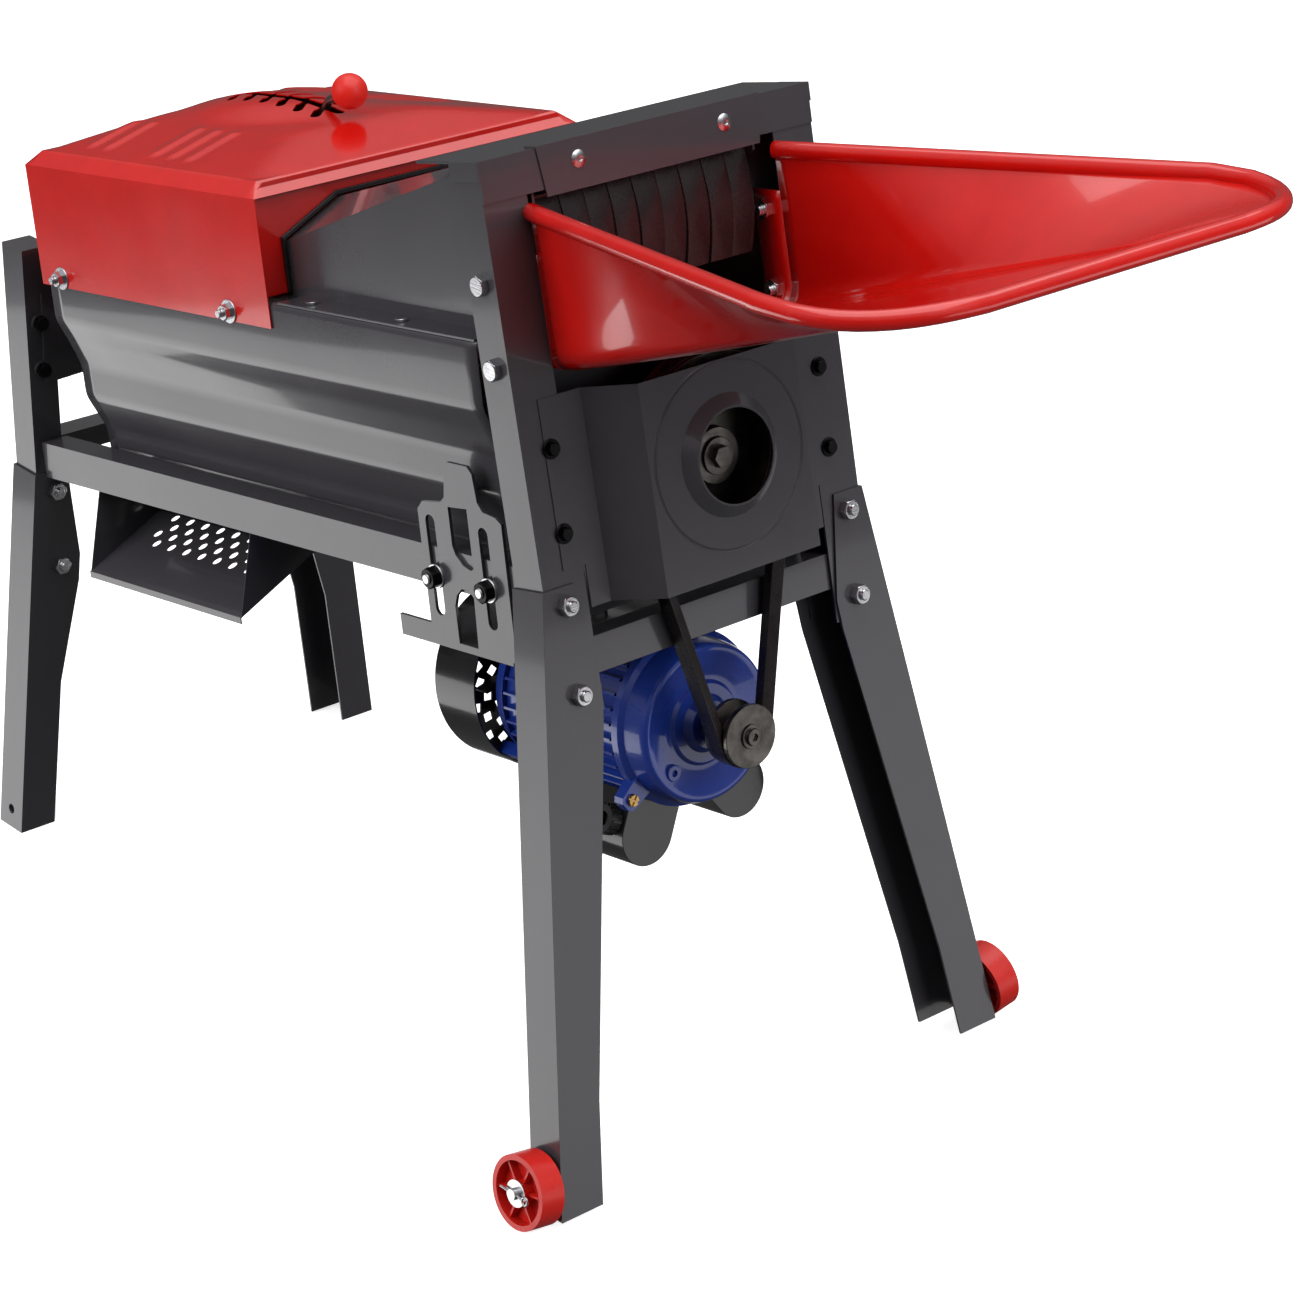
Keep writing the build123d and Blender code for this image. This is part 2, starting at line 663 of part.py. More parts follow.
def belt_outline(radius_top, radius_motor):
    """Closed line that wraps both pulleys, in the (y, z) plane."""
    dy = MOTOR_Y
    dz = MOTOR_Z - DRUM_Z
    distance = math.hypot(dy, dz)
    along = (dy / distance, dz / distance)
    across = (-along[1], along[0])
    lean = (radius_top - radius_motor) / distance
    side = math.sqrt(1 - lean * lean)
    ends = []
    for sign in (1, -1):
        ny = along[0] * lean + across[0] * side * sign
        nz = along[1] * lean + across[1] * side * sign
        ends.append(((radius_top * ny, DRUM_Z + radius_top * nz),
                     (MOTOR_Y + radius_motor * ny, MOTOR_Z + radius_motor * nz)))
    (t1, m1), (t2, m2) = ends
    top = (-along[0] * radius_top, DRUM_Z - along[1] * radius_top)
    low = (MOTOR_Y + along[0] * radius_motor, MOTOR_Z + along[1] * radius_motor)
    return [Line(t1, m1), ThreePointArc(m1, low, m2), Line(m2, t2), ThreePointArc(t2, top, t1)]


def v_belt():
    """One closed V belt, swept round both pulleys."""
    outer_top = DRUM_PULLEY_RADIUS + BELT_PROUD
    outer_motor = MOTOR_PULLEY_RADIUS + BELT_PROUD
    path = Wire([Plane.YZ.offset(BELT_X) * edge for edge in belt_outline(outer_top, outer_motor)])
    start = path @ 0
    tangent = path % 0
    outward = Vector(1, 0, 0).cross(tangent)
    if outward.dot(start - Vector(BELT_X, 0, DRUM_Z)) < 0:
        outward = -outward
    plane = Plane(origin=start, x_dir=(1, 0, 0), z_dir=Vector(1, 0, 0).cross(outward))
    depth = -BELT_DEPTH if plane.y_dir.dot(outward) > 0 else BELT_DEPTH
    points = [(-BELT_TOP, 0), (BELT_TOP, 0), (BELT_FLOOR, depth), (-BELT_FLOOR, depth)]
    return sweep(plane * Polygon(*points, align=None), path=path)


# ---------------------------------------------------------------------------
# shroud and hood
# ---------------------------------------------------------------------------

def shroud_block(inset):
    """Solid of the shroud's outside, or of its inside when inset is the sheet."""
    side = SHROUD_SIDE - inset
    x_rear = HOOD_FRONT - 14
    rear = [(-side, 190), (-side, 248 - inset / 2), (-87, 276 - inset), (87, 276 - inset),
            (side, 248 - inset / 2), (side, 190)]
    front = [(-side, 190), (-side, 347 - inset), (-side + 5, 349 - inset), (side - 5, 349 - inset),
             (side, 347 - inset), (side, 190)]
    sections = [Plane.YZ.offset(x_rear) * Polygon(*rear, align=None),
                Plane.YZ.offset(-40) * Polygon(*front, align=None)]
    return loft(sections, ruled=True)


def shroud():
    """Dark cover between the front frame and the hood."""
    shell = shroud_block(0) - shroud_block(SHEET)
    shell -= block(-500, 100, -300, 300, 100, TROUGH_TOP + 0.2)
    flange = block(HOOD_FRONT + 10, -30, -HALF_WIDTH + 1, -SHROUD_SIDE + 1, TROUGH_TOP + 0.2, TROUGH_TOP + 2)
    for x in SHROUD_SCREW_X:
        flange -= rod_z(2.8, TROUGH_TOP - 4, TROUGH_TOP + 4, x, -SHROUD_SCREW_Y)
    shell += flange + mirror(flange, about=Plane.XZ)
    behind_posts = Location((0, 0, 0), (0, -FRONT_LEAN, 0)) * block(SHROUD_FRONT_X, 200, -400, 400, -200, 600)
    return shell - behind_posts


def shroud_screw(x):
    head = rod_z(6, TROUGH_TOP + 2, TROUGH_TOP + 4.5, x, -SHROUD_SCREW_Y)
    shank = rod_z(2.5, TROUGH_TOP - 5, TROUGH_TOP + 2, x, -SHROUD_SCREW_Y)
    return head + shank


def hood_block(inset):
    """Solid of the hood's outside, or of its inside when inset is the sheet."""
    rear, front = HOOD_REAR + inset, HOOD_FRONT
    side = HOOD_SIDE - inset
    bottom = HOOD_BOTTOM - inset

    def level(x0, x1, half, z):
        return Plane.XY.offset(z) * Polygon((x0, -half), (x1, -half), (x1, half), (x0, half), align=None)

    walls = block(rear, front, -side, side, bottom, HOOD_EDGE - inset / 2)
    band = loft([level(rear, front, side, HOOD_EDGE - inset / 2),
                 level(rear + 13, front - 12, side - 13, HOOD_CREASE - inset)], ruled=True)
    roof = loft([level(rear + 13, front - 12, side - 13, HOOD_CREASE - inset),
                 level(rear + 62, front - 96, 62 - inset, HOOD_ROOF - inset)], ruled=True)
    pad = loft([level(rear + 66, front - 100, 56 - inset, HOOD_ROOF - 2 - inset),
                level(rear + 76, front - 112, 44 - inset, HOOD_PAD - inset)], ruled=True)
    return walls + band + roof + pad


def herringbone_slot():
    """The lever's slot with notches on both sides."""
    z0, z1 = HOOD_ROOF - 8, HOOD_PAD + 8
    cut = block(SLOT_REAR, SLOT_FRONT, -SLOT_HALF, SLOT_HALF, z0, z1)
    pitch = (SLOT_FRONT - SLOT_REAR - 20) / NOTCHES
    for i in range(NOTCHES):
        for side in (1, -1):
            x = SLOT_REAR + 14 + pitch * (i + (0.25 if side > 0 else 0.75))
            tip = side * NOTCH_REACH
            cut += along_z([(x - 4, 0), (x + 4, 0), (x + 12, tip), (x + 5, tip)], z0, z1)
    return cut


def hood():
    """Sheet hood with a recessed front wall and the lever's slot."""
    shell = hood_block(0) - hood_block(SHEET) - block(HOOD_FRONT - 1, HOOD_FRONT + 50, -400, 400, 0, 500)
    wall_x = HOOD_FRONT - 8
    full = [(-HOOD_SIDE + SHEET, HOOD_BOTTOM + 26), (-HOOD_SIDE + SHEET, HOOD_EDGE - 3),
            (HOOD_SIDE - SHEET, HOOD_EDGE - 3), (HOOD_SIDE - SHEET, HOOD_BOTTOM + 26)]
    wall = along_x(full, wall_x - SHEET, wall_x)
    top = block(wall_x - SHEET, wall_x, -HOOD_SIDE + 16, HOOD_SIDE - 16, HOOD_EDGE - 4, HOOD_CREASE - 0.5)
    gap = 1.0
    side = SHROUD_SIDE + gap
    edge = [(side, 100), (side, 249.5), (87 + gap, 278 + gap)]
    opening = along_x(edge + [(-y, z) for y, z in reversed(edge)], wall_x - 6, wall_x + 3)
    shell += wall + top
    shell -= opening
    shell -= herringbone_slot()
    for x in STUD_X:
        shell -= rod_y(4.5, -HOOD_SIDE - 5, HOOD_SIDE + 5, x, STUD_Z)
    return shell


def hood_stud(x):
    """Stud welded in the trough wall, with washer and nut outside the hood."""
    face = -HOOD_SIDE
    shank = rod_y(4, face - 13, -HALF_WIDTH + SHEET + 6, x, STUD_Z)
    inner = hexagon_y(13, -HALF_WIDTH + SHEET, -HALF_WIDTH + SHEET + 5, x, STUD_Z)
    washer = rod_y(11, face - 1.6, face, x, STUD_Z)
    nut = hexagon_y(13, face - 8.2, face - 1.6, x, STUD_Z)
    return shank + inner + washer + nut


def shroud_trim():
    """Black rubber edging round the hood's opening."""
    side, x0 = SHROUD_SIDE + 1.0, HOOD_FRONT - 8
    outer = [(side + 3, 206.2), (side + 3, 255), (89, 284)]
    inner = [(side - 0.5, 206.2), (side - 0.5, 252.5), (88.5, 280)]
    outer += [(-y, z) for y, z in reversed(outer)]
    inner += [(-y, z) for y, z in reversed(inner)]
    return along_x(outer + list(reversed(inner)), x0 + 0.1, x0 + 4)


# ---------------------------------------------------------------------------
# outlet lever
# ---------------------------------------------------------------------------

def lever_bend():
    """Where the rod turns forward above the hood, as (x, z)."""
    lean = math.radians(LEVER_REST)
    height = HOOD_PAD + 6 - LEVER_Z
    return (LEVER_X + height * math.tan(lean), LEVER_Z + height)


def lever_rod():
    """Bent rod from the pivot shaft through the slot to the knob."""
    x, z = lever_bend()
    path = FilletPolyline((LEVER_X, 0, LEVER_Z), (x, 0, z), (x + 28, 0, z + 9), radius=10)
    rod = sweep(Plane(origin=path @ 0, z_dir=path % 0) * Circle(4), path=path)
    return rod + rod_y(LEVER_SHAFT, -LEVER_SHAFT_HALF, LEVER_SHAFT_HALF, LEVER_X, LEVER_Z)


def lever_knob():
    """Ball on the rod's tip."""
    x, z = lever_bend()
    return Location((x + 35, 0, z + 10.5)) * Sphere(16.5) - lever_rod()


def outlet_flap():
    """Pressure flap that hangs from the lever's shaft over the cobs."""
    line = [(LEVER_X - 4, LEVER_Z), (LEVER_X - 24, LEVER_Z - 6), (LEVER_X - 34, LEVER_Z - 14)]
    return along_y(strip(line, 3), -118, 118) - rod_y(LEVER_SHAFT, -150, 150, LEVER_X, LEVER_Z)


def lever_bearings():
    """Two plates on the trough flanges that carry the lever's shaft."""
    foot = TROUGH_TOP
    plate = block(LEVER_X - 16, LEVER_X + 16, 144.5, 148.5, foot, LEVER_Z + 14)
    ledge = block(LEVER_X - 16, LEVER_X + 16, 144.5, 170, foot, foot + 3)
    plate = plate + ledge
    plate -= rod_y(LEVER_SHAFT + RUN_CLEAR, 135, 180, LEVER_X, LEVER_Z)
    return both_sides(plate)


# ---------------------------------------------------------------------------
# hopper
# ---------------------------------------------------------------------------

def hopper_section(x, rim_half, rim_z, fold_half, floor_z):
    """Thin U section of the hopper at one x position."""
    line = [(-rim_half, rim_z), (-fold_half, floor_z + 10), (-fold_half + 10, floor_z),
            (fold_half - 10, floor_z), (fold_half, floor_z + 10), (rim_half, rim_z)]
    return Plane.YZ.offset(x) * Polygon(*strip(line, SHEET), align=None)


def lip_section():
    """The U section opened almost flat at the lip."""
    half = [(-LIP_HALF, LIP_Z + 2), (-HOPPER_HALF - 2, LIP_Z - 4), (-HOPPER_HALF + 22, LIP_Z - 5)]
    line = half + [(-y, z) for y, z in reversed(half)]
    return Plane.YZ.offset(LIP_X) * Polygon(*strip(line, SHEET), align=None)


def hopper():
    """Feed scoop: folded sheet with a rolled rim."""
    root_half = HOPPER_HALF + 1
    lean = Location((0, 0, 0), (0, -FRONT_LEAN, 0))
    root = lean * hopper_section(HOPPER_GAP, root_half, HOPPER_TOP, HOPPER_HALF, HOPPER_BOTTOM)
    root_x = HOPPER_GAP - HOPPER_TOP * math.tan(math.radians(FRONT_LEAN))
    scoop = loft([root, lip_section()], ruled=True)
    near_side = [(-40, -HOPPER_HALF - 12), (LIP_X, -LIP_HALF - 6)]
    trim = Polygon(*near_side, *[(x, -y) for x, y in reversed(near_side)], align=None)
    corners = [v for v in trim.vertices() if v.X > LIP_X - 1]
    trim = fillet(corners, LIP_CORNER)
    scoop = scoop & extrude(trim, 600)
    rim = [(root_x, -root_half, HOPPER_TOP), (LIP_X, -LIP_HALF, LIP_Z + 2), (LIP_X, LIP_HALF, LIP_Z + 2),
           (root_x, root_half, HOPPER_TOP)]
    path = FilletPolyline(*rim, radius=LIP_CORNER)
    bead = sweep(Plane(origin=rim[0], z_dir=path % 0) * Circle(RIM_RADIUS), path=path)
    bead_inner = sweep(Plane(origin=rim[0], z_dir=path % 0) * Circle(RIM_RADIUS - SHEET), path=path)
    body = scoop + bead - bead_inner
    body -= lean * block(-40, HOPPER_GAP - 0.05, -300, 300, 100, 400)
    tongue_line = [(-HOPPER_HALF + 0.2, HOPPER_TOP - 6), (-HOPPER_HALF + 0.2, HOPPER_BOTTOM + 1),
                   (HOPPER_HALF - 0.2, HOPPER_BOTTOM + 1), (HOPPER_HALF - 0.2, HOPPER_TOP - 6)]
    tongue = along_x(strip(tongue_line, SHEET), -POST_DEPTH - 12, -6)
    lean = math.radians(FRONT_LEAN)
    for height in HOPPER_BOLTS_Z:
        x = HOPPER_BOLT_X * math.cos(lean) - height * math.sin(lean)
        z = HOPPER_BOLT_X * math.sin(lean) + height * math.cos(lean)
        tongue -= rod_y(M10[0] + HOLE_PLAY, -HALF_WIDTH, HALF_WIDTH, x, z)
    return body + tongue


def hopper_bolt(z):
    """Long bolt through a front post and the hopper's side."""
    radius, across, height = M10
    inside = -HOPPER_HALF + SHEET + 0.4
    head = hexagon_y(across, -HALF_WIDTH - height, -HALF_WIDTH, HOPPER_BOLT_X, z)
    shank = rod_y(radius, -HALF_WIDTH, inside + 12, HOPPER_BOLT_X, z)
    nut = hexagon_y(across, inside, inside + 8, HOPPER_BOLT_X, z)
    return head + shank + nut


# ---------------------------------------------------------------------------
# belt cover
# ---------------------------------------------------------------------------

def cover_loop(inset):
    """Top outline of the cover's box, as (x, y)."""
    face, base, depth = COVER_FACE_HALF - inset / 2, COVER_BASE_HALF - inset, COVER_DEPTH - inset
    return [(0, -base), (depth, -face), (depth, face), (0, base)]


def belt_cover():
    """Pressed cover over the drum pulley, open at the top, the bottom and the back."""
    solid = along_z(cover_loop(0), COVER_BOTTOM, COVER_TOP)
    hollow = along_z(cover_loop(SHEET), COVER_BOTTOM - 5, COVER_TOP + 5)
    inside = COVER_BASE_HALF - SHEET
    hollow += block(-5, 0.01, -inside, inside, COVER_BOTTOM - 5, COVER_TOP + 5)
    cover = solid - hollow
    flange = block(0, SHEET, COVER_BASE_HALF - 2, COVER_FLANGE_HALF, COVER_STEP, COVER_TOP)
    flange += block(0, SHEET, COVER_BASE_HALF - 2, COVER_TAB_HALF, COVER_BOTTOM, COVER_STEP)
    for y, z in COVER_SCREWS:
        flange -= rod_x(M6[0] + HOLE_PLAY, -4, 6, y, z)
    cover += flange + mirror(flange, about=Plane.XZ)
    centre = Location((COVER_DEPTH, 0, DRUM_Z))
    hole, rise = COVER_HOLE, 9.0
    boss = ring_profile([(-SHEET, hole + 12), (0, hole + 12), (rise - 1, hole + 3), (rise, hole + 1.5),
                         (rise, hole), (rise - SHEET, hole), (rise - SHEET - 1, hole + 1.5)])
    cover -= centre * rod_x(hole + 11.5, -10, 10, 0, 0)
    cover += centre * boss
    groove = ring_profile([(0.5, COVER_RING - 2.5), (0.5, COVER_RING + 2.5), (-0.8, COVER_RING)])
    return cover - centre * groove


def cover_screw(y, z):
    """Flange screw with a hexagon on its flange."""
    radius, across, height = M6
    flange = rod_x(8.5, SHEET, SHEET + 1.6, y, z)
    head = hexagon_x(across, SHEET + 1.6, SHEET + 1.6 + height, y, z)
    shank = rod_x(radius, -8, SHEET, y, z)
    return flange + head + shank


# ---------------------------------------------------------------------------
# grain chute
# ---------------------------------------------------------------------------

def grain_chute():
    """Tray under the slotted trough bottom; it opens at the near side."""
    mouth = (CHUTE_MOUTH_Y, CHUTE_MOUTH_Z)
    lip = (CHUTE_MOUTH_Y, CHUTE_MOUTH_Z - CHUTE_LIP)
    floor_line = [lip, mouth, (-103, -61), (5, -54), (126, -28), (134.6, -14)]
    floor = along_x(strip(floor_line, SHEET), CHUTE_REAR, CHUTE_FRONT)
    cheek = [mouth, (-166, -24), (-120, -24), (-90, -40), (-60, -50), (5, -53), (5, -54), (-103, -61)]
    left = along_x(cheek, CHUTE_REAR, CHUTE_REAR + SHEET)
    right = along_x(cheek, CHUTE_FRONT - SHEET, CHUTE_FRONT)
    tray = floor + left + right
    holes = []
    for row in range(4):
        for k in range(8):
            y = -139 + row * PERF_ROW
            x = CHUTE_REAR + 34 + PERF_PITCH * (k + 0.5 * ((row + 1) % 2))
            holes.append(rod_z(PERF_RADIUS, -120, -50, x, y))
    return tray - holes


# ---------------------------------------------------------------------------
# motor bracket and motor
# ---------------------------------------------------------------------------

def bracket_side():
    """Slotted side plate of the motor carriage, near side."""
    tab = [(-76, 55), (-82, 62), (-85, 86), (-91, 92), (-118, 92), (-123, 87), (-128, 60), (-134, 55)]
    outline = [(-168, SEAT_Z), (-52, SEAT_Z), (-52, 48), (-60, 53)] + tab + [(-160, 52), (-168, 44)]
    y0, y1 = -BRACKET_Y, -BRACKET_Y + BRACKET_PLATE
    plate = along_y(outline, y0, y1)
    plate += block(*SEAT_X, y0, y1, SEAT_Z, SEAT_Z + 16)
    half = SLOT_WIDTH / 2
    low, high = SLOT_ENDS_Z[0] + half, SLOT_ENDS_Z[1] - half
    for x in BRACKET_BOLTS_X:
        plate -= block(x - half, x + half, y0 - 1, y1 + 1, low, high)
        for z in (low, high):
            plate -= rod_y(half, y0 - 1, y1 + 1, x, z)
    upper = [(-124, 52), (-98, 54), (-98, 2), (-102, 0), (-112, 3), (-121, 11), (-124, 18)]
    lower = [(-130, -69), (-104, -69), (-102, -24), (-108, -19), (-118, -19), (-126, -26), (-130, -36)]
    for window in (upper, lower):
        plate -= along_y(window, y0 - 1, y1 + 1)
    return plate


def motor_bracket():
    """U-shaped carriage: two slotted sides and the motor's seat."""
    side = bracket_side()
    seat = block(*SEAT_X, -BRACKET_Y, BRACKET_Y, SEAT_Z - BRACKET_PLATE, SEAT_Z)
    for x, y in seat_bolts():
        seat -= rod_z(M8[0] + HOLE_PLAY, SEAT_Z - 8, SEAT_Z + 4, x, y)
    return side + mirror(side, about=Plane.XZ) + seat


def seat_bolts():
    """Places of the four bolts, as (x, y)."""
    places = []
    for x in SEAT_BOLTS_X:
        for y in (-SEAT_BOLTS_Y, SEAT_BOLTS_Y):
            places.append((x, MOTOR_Y + y))
    return places


def seat_bolt(x, y):
    """Bolt that hangs a motor foot from the seat."""
    radius, across, height = M8
    under = SEAT_Z - BRACKET_PLATE
    head = hexagon_z(across, SEAT_Z, SEAT_Z + height, x, y)
    shank = rod_z(radius, under - 18, SEAT_Z, x, y)
    nut = hexagon_z(across, under - 15.5, under - 9, x, y)
    return head + shank + nut


def bracket_bolt(x):
    """Bolt and washers that clamp the carriage to a rail."""
    face = -BRACKET_Y
    shank = rod_y(M10[0], face - 12, -RAIL_Y + RAIL_THICK + 7, x, BRACKET_BOLT_Z)
    washer = rod_y(11, face - 1.8, face, x, BRACKET_BOLT_Z)
    nut = hexagon_y(17, face - 10, face - 1.8, x, BRACKET_BOLT_Z)
    head = hexagon_y(17, -RAIL_Y + RAIL_THICK, -RAIL_Y + RAIL_THICK + M10[2], x, BRACKET_BOLT_Z)
    return shank + washer + nut + head


def on_motor(shape, angle=0):
    """Turn a shape about the motor's axis and move it there."""
    return Location((0, MOTOR_Y, MOTOR_Z)) * Rotation(angle, 0, 0) * shape


def motor_frame():
    """Finned stator housing with two pairs of feet on top."""
    shell = rod_x(MOTOR_RADIUS - 7, FRAME_REAR, FRAME_FRONT, 0, 0)
    shell -= rod_x(BORE_RADIUS, FRAME_REAR - 1, FRAME_FRONT + 1, 0, 0)
    fin = block(FRAME_REAR + 4, FRAME_FRONT - 4, -1.2, 1.2, MOTOR_RADIUS - 8, MOTOR_RADIUS)
    for i in range(FIN_COUNT):
        shell += Rotation(360 * i / FIN_COUNT, 0, 0) * fin
    for x in SEAT_BOLTS_X:
        shell += motor_foot(x)
    return on_motor(shell)


def motor_foot(x):
    """One cross foot that bolts under the seat."""
    top = SEAT_Z - BRACKET_PLATE - MOTOR_Z
    foot = block(x - 14, x + 14, -60, 60, top - 9, top)
    for y in (-40, 40):
        foot += block(x - 5, x + 5, y - 5, y + 5, 52, top - 5)
    for y in (-SEAT_BOLTS_Y, SEAT_BOLTS_Y):
        foot -= rod_z(M8[0] + HOLE_PLAY, top - 12, top + 1, x, y)
        foot -= rod_z(8.5, top - 24, top - 9, x, y)
    return foot - rod_x(MOTOR_RADIUS - 8, FRAME_REAR, FRAME_FRONT, 0, 0)


def motor_bell_front():
    """Deep front end shield: a flange, a round dish and the shaft's bearing boss."""
    back, bore = FRAME_FRONT + 0.1, MOTOR_SHAFT + RUN_CLEAR
    rim = MOTOR_RADIUS + 1
    lip = BELL_FRONT
    flange = [(back, 60), (back, rim), (back + 8, rim), (back + 11, rim - 5)]
    dish = [(lip - 8, rim - 7), (lip - 2, rim - 9), (lip, rim - 13), (lip - 1, rim - 17), (lip - 6, 44)]
    boss = [(lip - 6, 38), (lip - 3, 35), (lip - 3, 26), (lip + 4, 21), (lip + 4, bore)]
    bell = ring_profile(flange + dish + boss + [(lip - 20, bore), (lip - 20, 60)])
    stud = rod_x(7.5, lip - 10, lip, 0, PLUG_RADIUS) - rod_x(3, lip - 4, lip + 1, 0, PLUG_RADIUS)
    bell += Rotation(PLUG_ANGLE, 0, 0) * stud
    for angle in LUG_ANGLES:
        lug = block(back, back + 12, -9, 9, MOTOR_RADIUS - 6, LUG_RADIUS + 9)
        lug -= rod_x(3, back - 5, back + 20, 0, LUG_RADIUS)
        bell += Rotation(angle, 0, 0) * lug
    return on_motor(bell)


def motor_bell_rear():
    """Rear end shield with four arms that hold the cowl."""
    back, bore = FRAME_REAR - 0.1, MOTOR_SHAFT + RUN_CLEAR
    dish = [(back, 60), (back, MOTOR_RADIUS - 2), (back - 14, MOTOR_RADIUS - 6)]
    boss = [(back - 20, 26), (back - 26, 22), (back - 26, bore), (back - 8, bore), (back - 8, 60)]
    bell = ring_profile(dish + boss)
    inside = COWL_RADIUS - COWL_SHEET
    arm = block(COWL_FRONT - 6, back - 6, -5, 5, inside - 12, inside - 0.3)
    arm += block(COWL_FRONT - 2, COWL_FRONT + 2, -5, 5, inside - 2, inside - 0.2)
    for i in range(4):
        bell += Rotation(45 + 90 * i, 0, 0) * arm
    return on_motor(bell)


def bell_screw(angle):
    """Cross-slotted screw in one lug of the front end shield."""
    face, radius = FRAME_FRONT + 12.1, LUG_RADIUS
    screw = rod_x(2.8, FRAME_FRONT + 1, face, 0, radius) + rod_x(5.5, face, face + 3.5, 0, radius)
    screw -= block(face + 1.8, face + 4, -3.5, 3.5, radius - 0.6, radius + 0.6)
    screw -= block(face + 1.8, face + 4, -0.6, 0.6, radius - 3.5, radius + 3.5)
    return on_motor(screw, angle)


def fan_cowl():
    """Black cowl over the fan, open towards the fins, with rings of diamond holes."""
    cowl = rod_x(COWL_RADIUS, COWL_REAR, COWL_FRONT, 0, 0)
    cowl -= rod_x(COWL_RADIUS - COWL_SHEET, COWL_REAR + COWL_SHEET, COWL_FRONT + 5, 0, 0)
    for ring, count in ((20, 8), (36, 14), (52, 20), (68, 26)):
        hole = Location((COWL_REAR, 0, ring)) * Rotation(45, 0, 0) * Box(8, 8.5, 8.5)
        for i in range(count):
            cowl -= Rotation(360 * i / count, 0, 0) * hole
    return on_motor(cowl)


def stator_core():
    """Laminated ring pressed in the motor frame."""
    core = rod_x(BORE_RADIUS, FRAME_REAR + 30, FRAME_FRONT - 30, 0, 0)
    return on_motor(core - rod_x(40.5, FRAME_REAR, FRAME_FRONT, 0, 0))


def stator_windings():
    """Copper end turns on both sides of the core."""
    turns = []
    for x0, x1 in ((FRAME_REAR + 12, FRAME_REAR + 30), (FRAME_FRONT - 30, FRAME_FRONT - 12)):
        turns.append(rod_x(61, x0, x1, 0, 0) - rod_x(44, x0 - 1, x1 + 1, 0, 0))
    return on_motor(group(turns))


def motor_rotor():
    """Shaft with the rotor core on its middle."""
    shaft = rod_x(MOTOR_SHAFT, COWL_REAR + 5, BELT_X + 12, 0, 0)
    return on_motor(shaft + rod_x(40, FRAME_REAR + 30, FRAME_FRONT - 30, 0, 0))


def cooling_fan():
    """Small plastic fan with flat blades near the cowl's holes."""
    x0, x1 = COWL_REAR + 6, COWL_REAR + 24
    fan = rod_x(16, x0, x1, 0, 0)
    for i in range(7):
        fan += Rotation(360 * i / 7, 0, 0) * block(x0, x1, -1.2, 1.2, 12, 46)
    return on_motor(fan - rod_x(MOTOR_SHAFT, COWL_REAR, 0, 0, 0))


def motor_pulley():
    """Small V pulley with a hub towards the motor."""
    half = MOTOR_PULLEY_HALF
    wheel = pulley(MOTOR_PULLEY_RADIUS, MOTOR_SHAFT, half, 0, 0)
    wheel += rod_x(16, -half - 18, -half, 0, 0) - rod_x(MOTOR_SHAFT, -half - 20, 0, 0, 0)
    return on_motor(Location((BELT_X, 0, 0)) * wheel)


def motor_pulley_bolt():
    """Washer and socket screw on the motor shaft's end."""
    end = BELT_X + MOTOR_PULLEY_HALF + 0.1
    washer = rod_x(11, end, end + 1.8, 0, 0)
    head = rod_x(7.5, end + 1.8, end + 5, 0, 0) - hexagon_x(6, end + 2.5, end + 6, 0, 0)
    return on_motor(washer + head)


def capacitor_cover(angle):
    """Black rounded cover strapped along the motor's lower side."""
    x0, x1, radius = CAP_REAR, CAP_FRONT, CAP_RADIUS
    hull = rod_x(radius, x0, x1, 0, -CAP_CENTRE)
    hull += block(x0, x1, -radius, radius, -CAP_CENTRE, -MOTOR_RADIUS + 4)
    hull -= rod_x(radius - 3, x0 + 3, x1 - 3, 0, -CAP_CENTRE)
    hull -= rod_x(MOTOR_RADIUS + 0.3, x0 - 1, x1 + 1, 0, 0)
    return on_motor(hull, angle)


def cable_gland():
    """Ribbed gland where the mains cord would enter, on the near cover's outer side."""
    gland = rod_z(12.5, 0, 12, 0, 0)
    for i in range(16):
        gland += Rotation(0, 0, 22.5 * i) * block(11, 14, -1.2, 1.2, 1, 11)
    gland -= rod_z(6.5, 3, 20, 0, 0)
    side = Location((CAP_FRONT - 17, -CAP_RADIUS, -CAP_CENTRE + 6), (90, 0, 0))
    return on_motor(side * gland, CAP_NEAR)


# ---------------------------------------------------------------------------
# wheels
# ---------------------------------------------------------------------------

def axle_place():
    """Frame on the near leg's outer face at the axle, its Y axis along the axle."""
    tilt = math.radians(WHEEL_TILT)
    middle = WHEEL_GAP + WHEEL_WIDTH / 2
    centre = WHEEL_RADIUS * math.cos(tilt) + WHEEL_WIDTH / 2 * math.sin(tilt)
    height = centre - middle * math.sin(tilt)
    return Location((AXLE_X, -AXLE_Y, height), (-WHEEL_TILT, 0, 0))


def wheel():
    """Spoked plastic wheel outside the leg, turning about Y."""
    y_in = -WHEEL_GAP
    y_out = y_in - WHEEL_WIDTH
    rim = rod_y(WHEEL_RADIUS, y_out, y_in, 0, 0) - rod_y(WHEEL_RADIUS - 5, y_out - 1, y_in + 1, 0, 0)
    hub = rod_y(10.5, y_out + 1, y_in, 0, 0)
    disc = rod_y(WHEEL_RADIUS - 3, y_in - 14, y_in - 10, 0, 0)
    shape = rim + hub + disc
    for i in range(SPOKES):
        turn = Rotation(0, 360 * (i + 0.3) / SPOKES, 0)
        shape += turn * block(-1.0, 1.0, y_out + 2.5, y_in - 2, 8, WHEEL_RADIUS - 3)
    return shape - rod_y(AXLE_RADIUS + RUN_CLEAR, y_out - 2, y_in + 2, 0, 0)


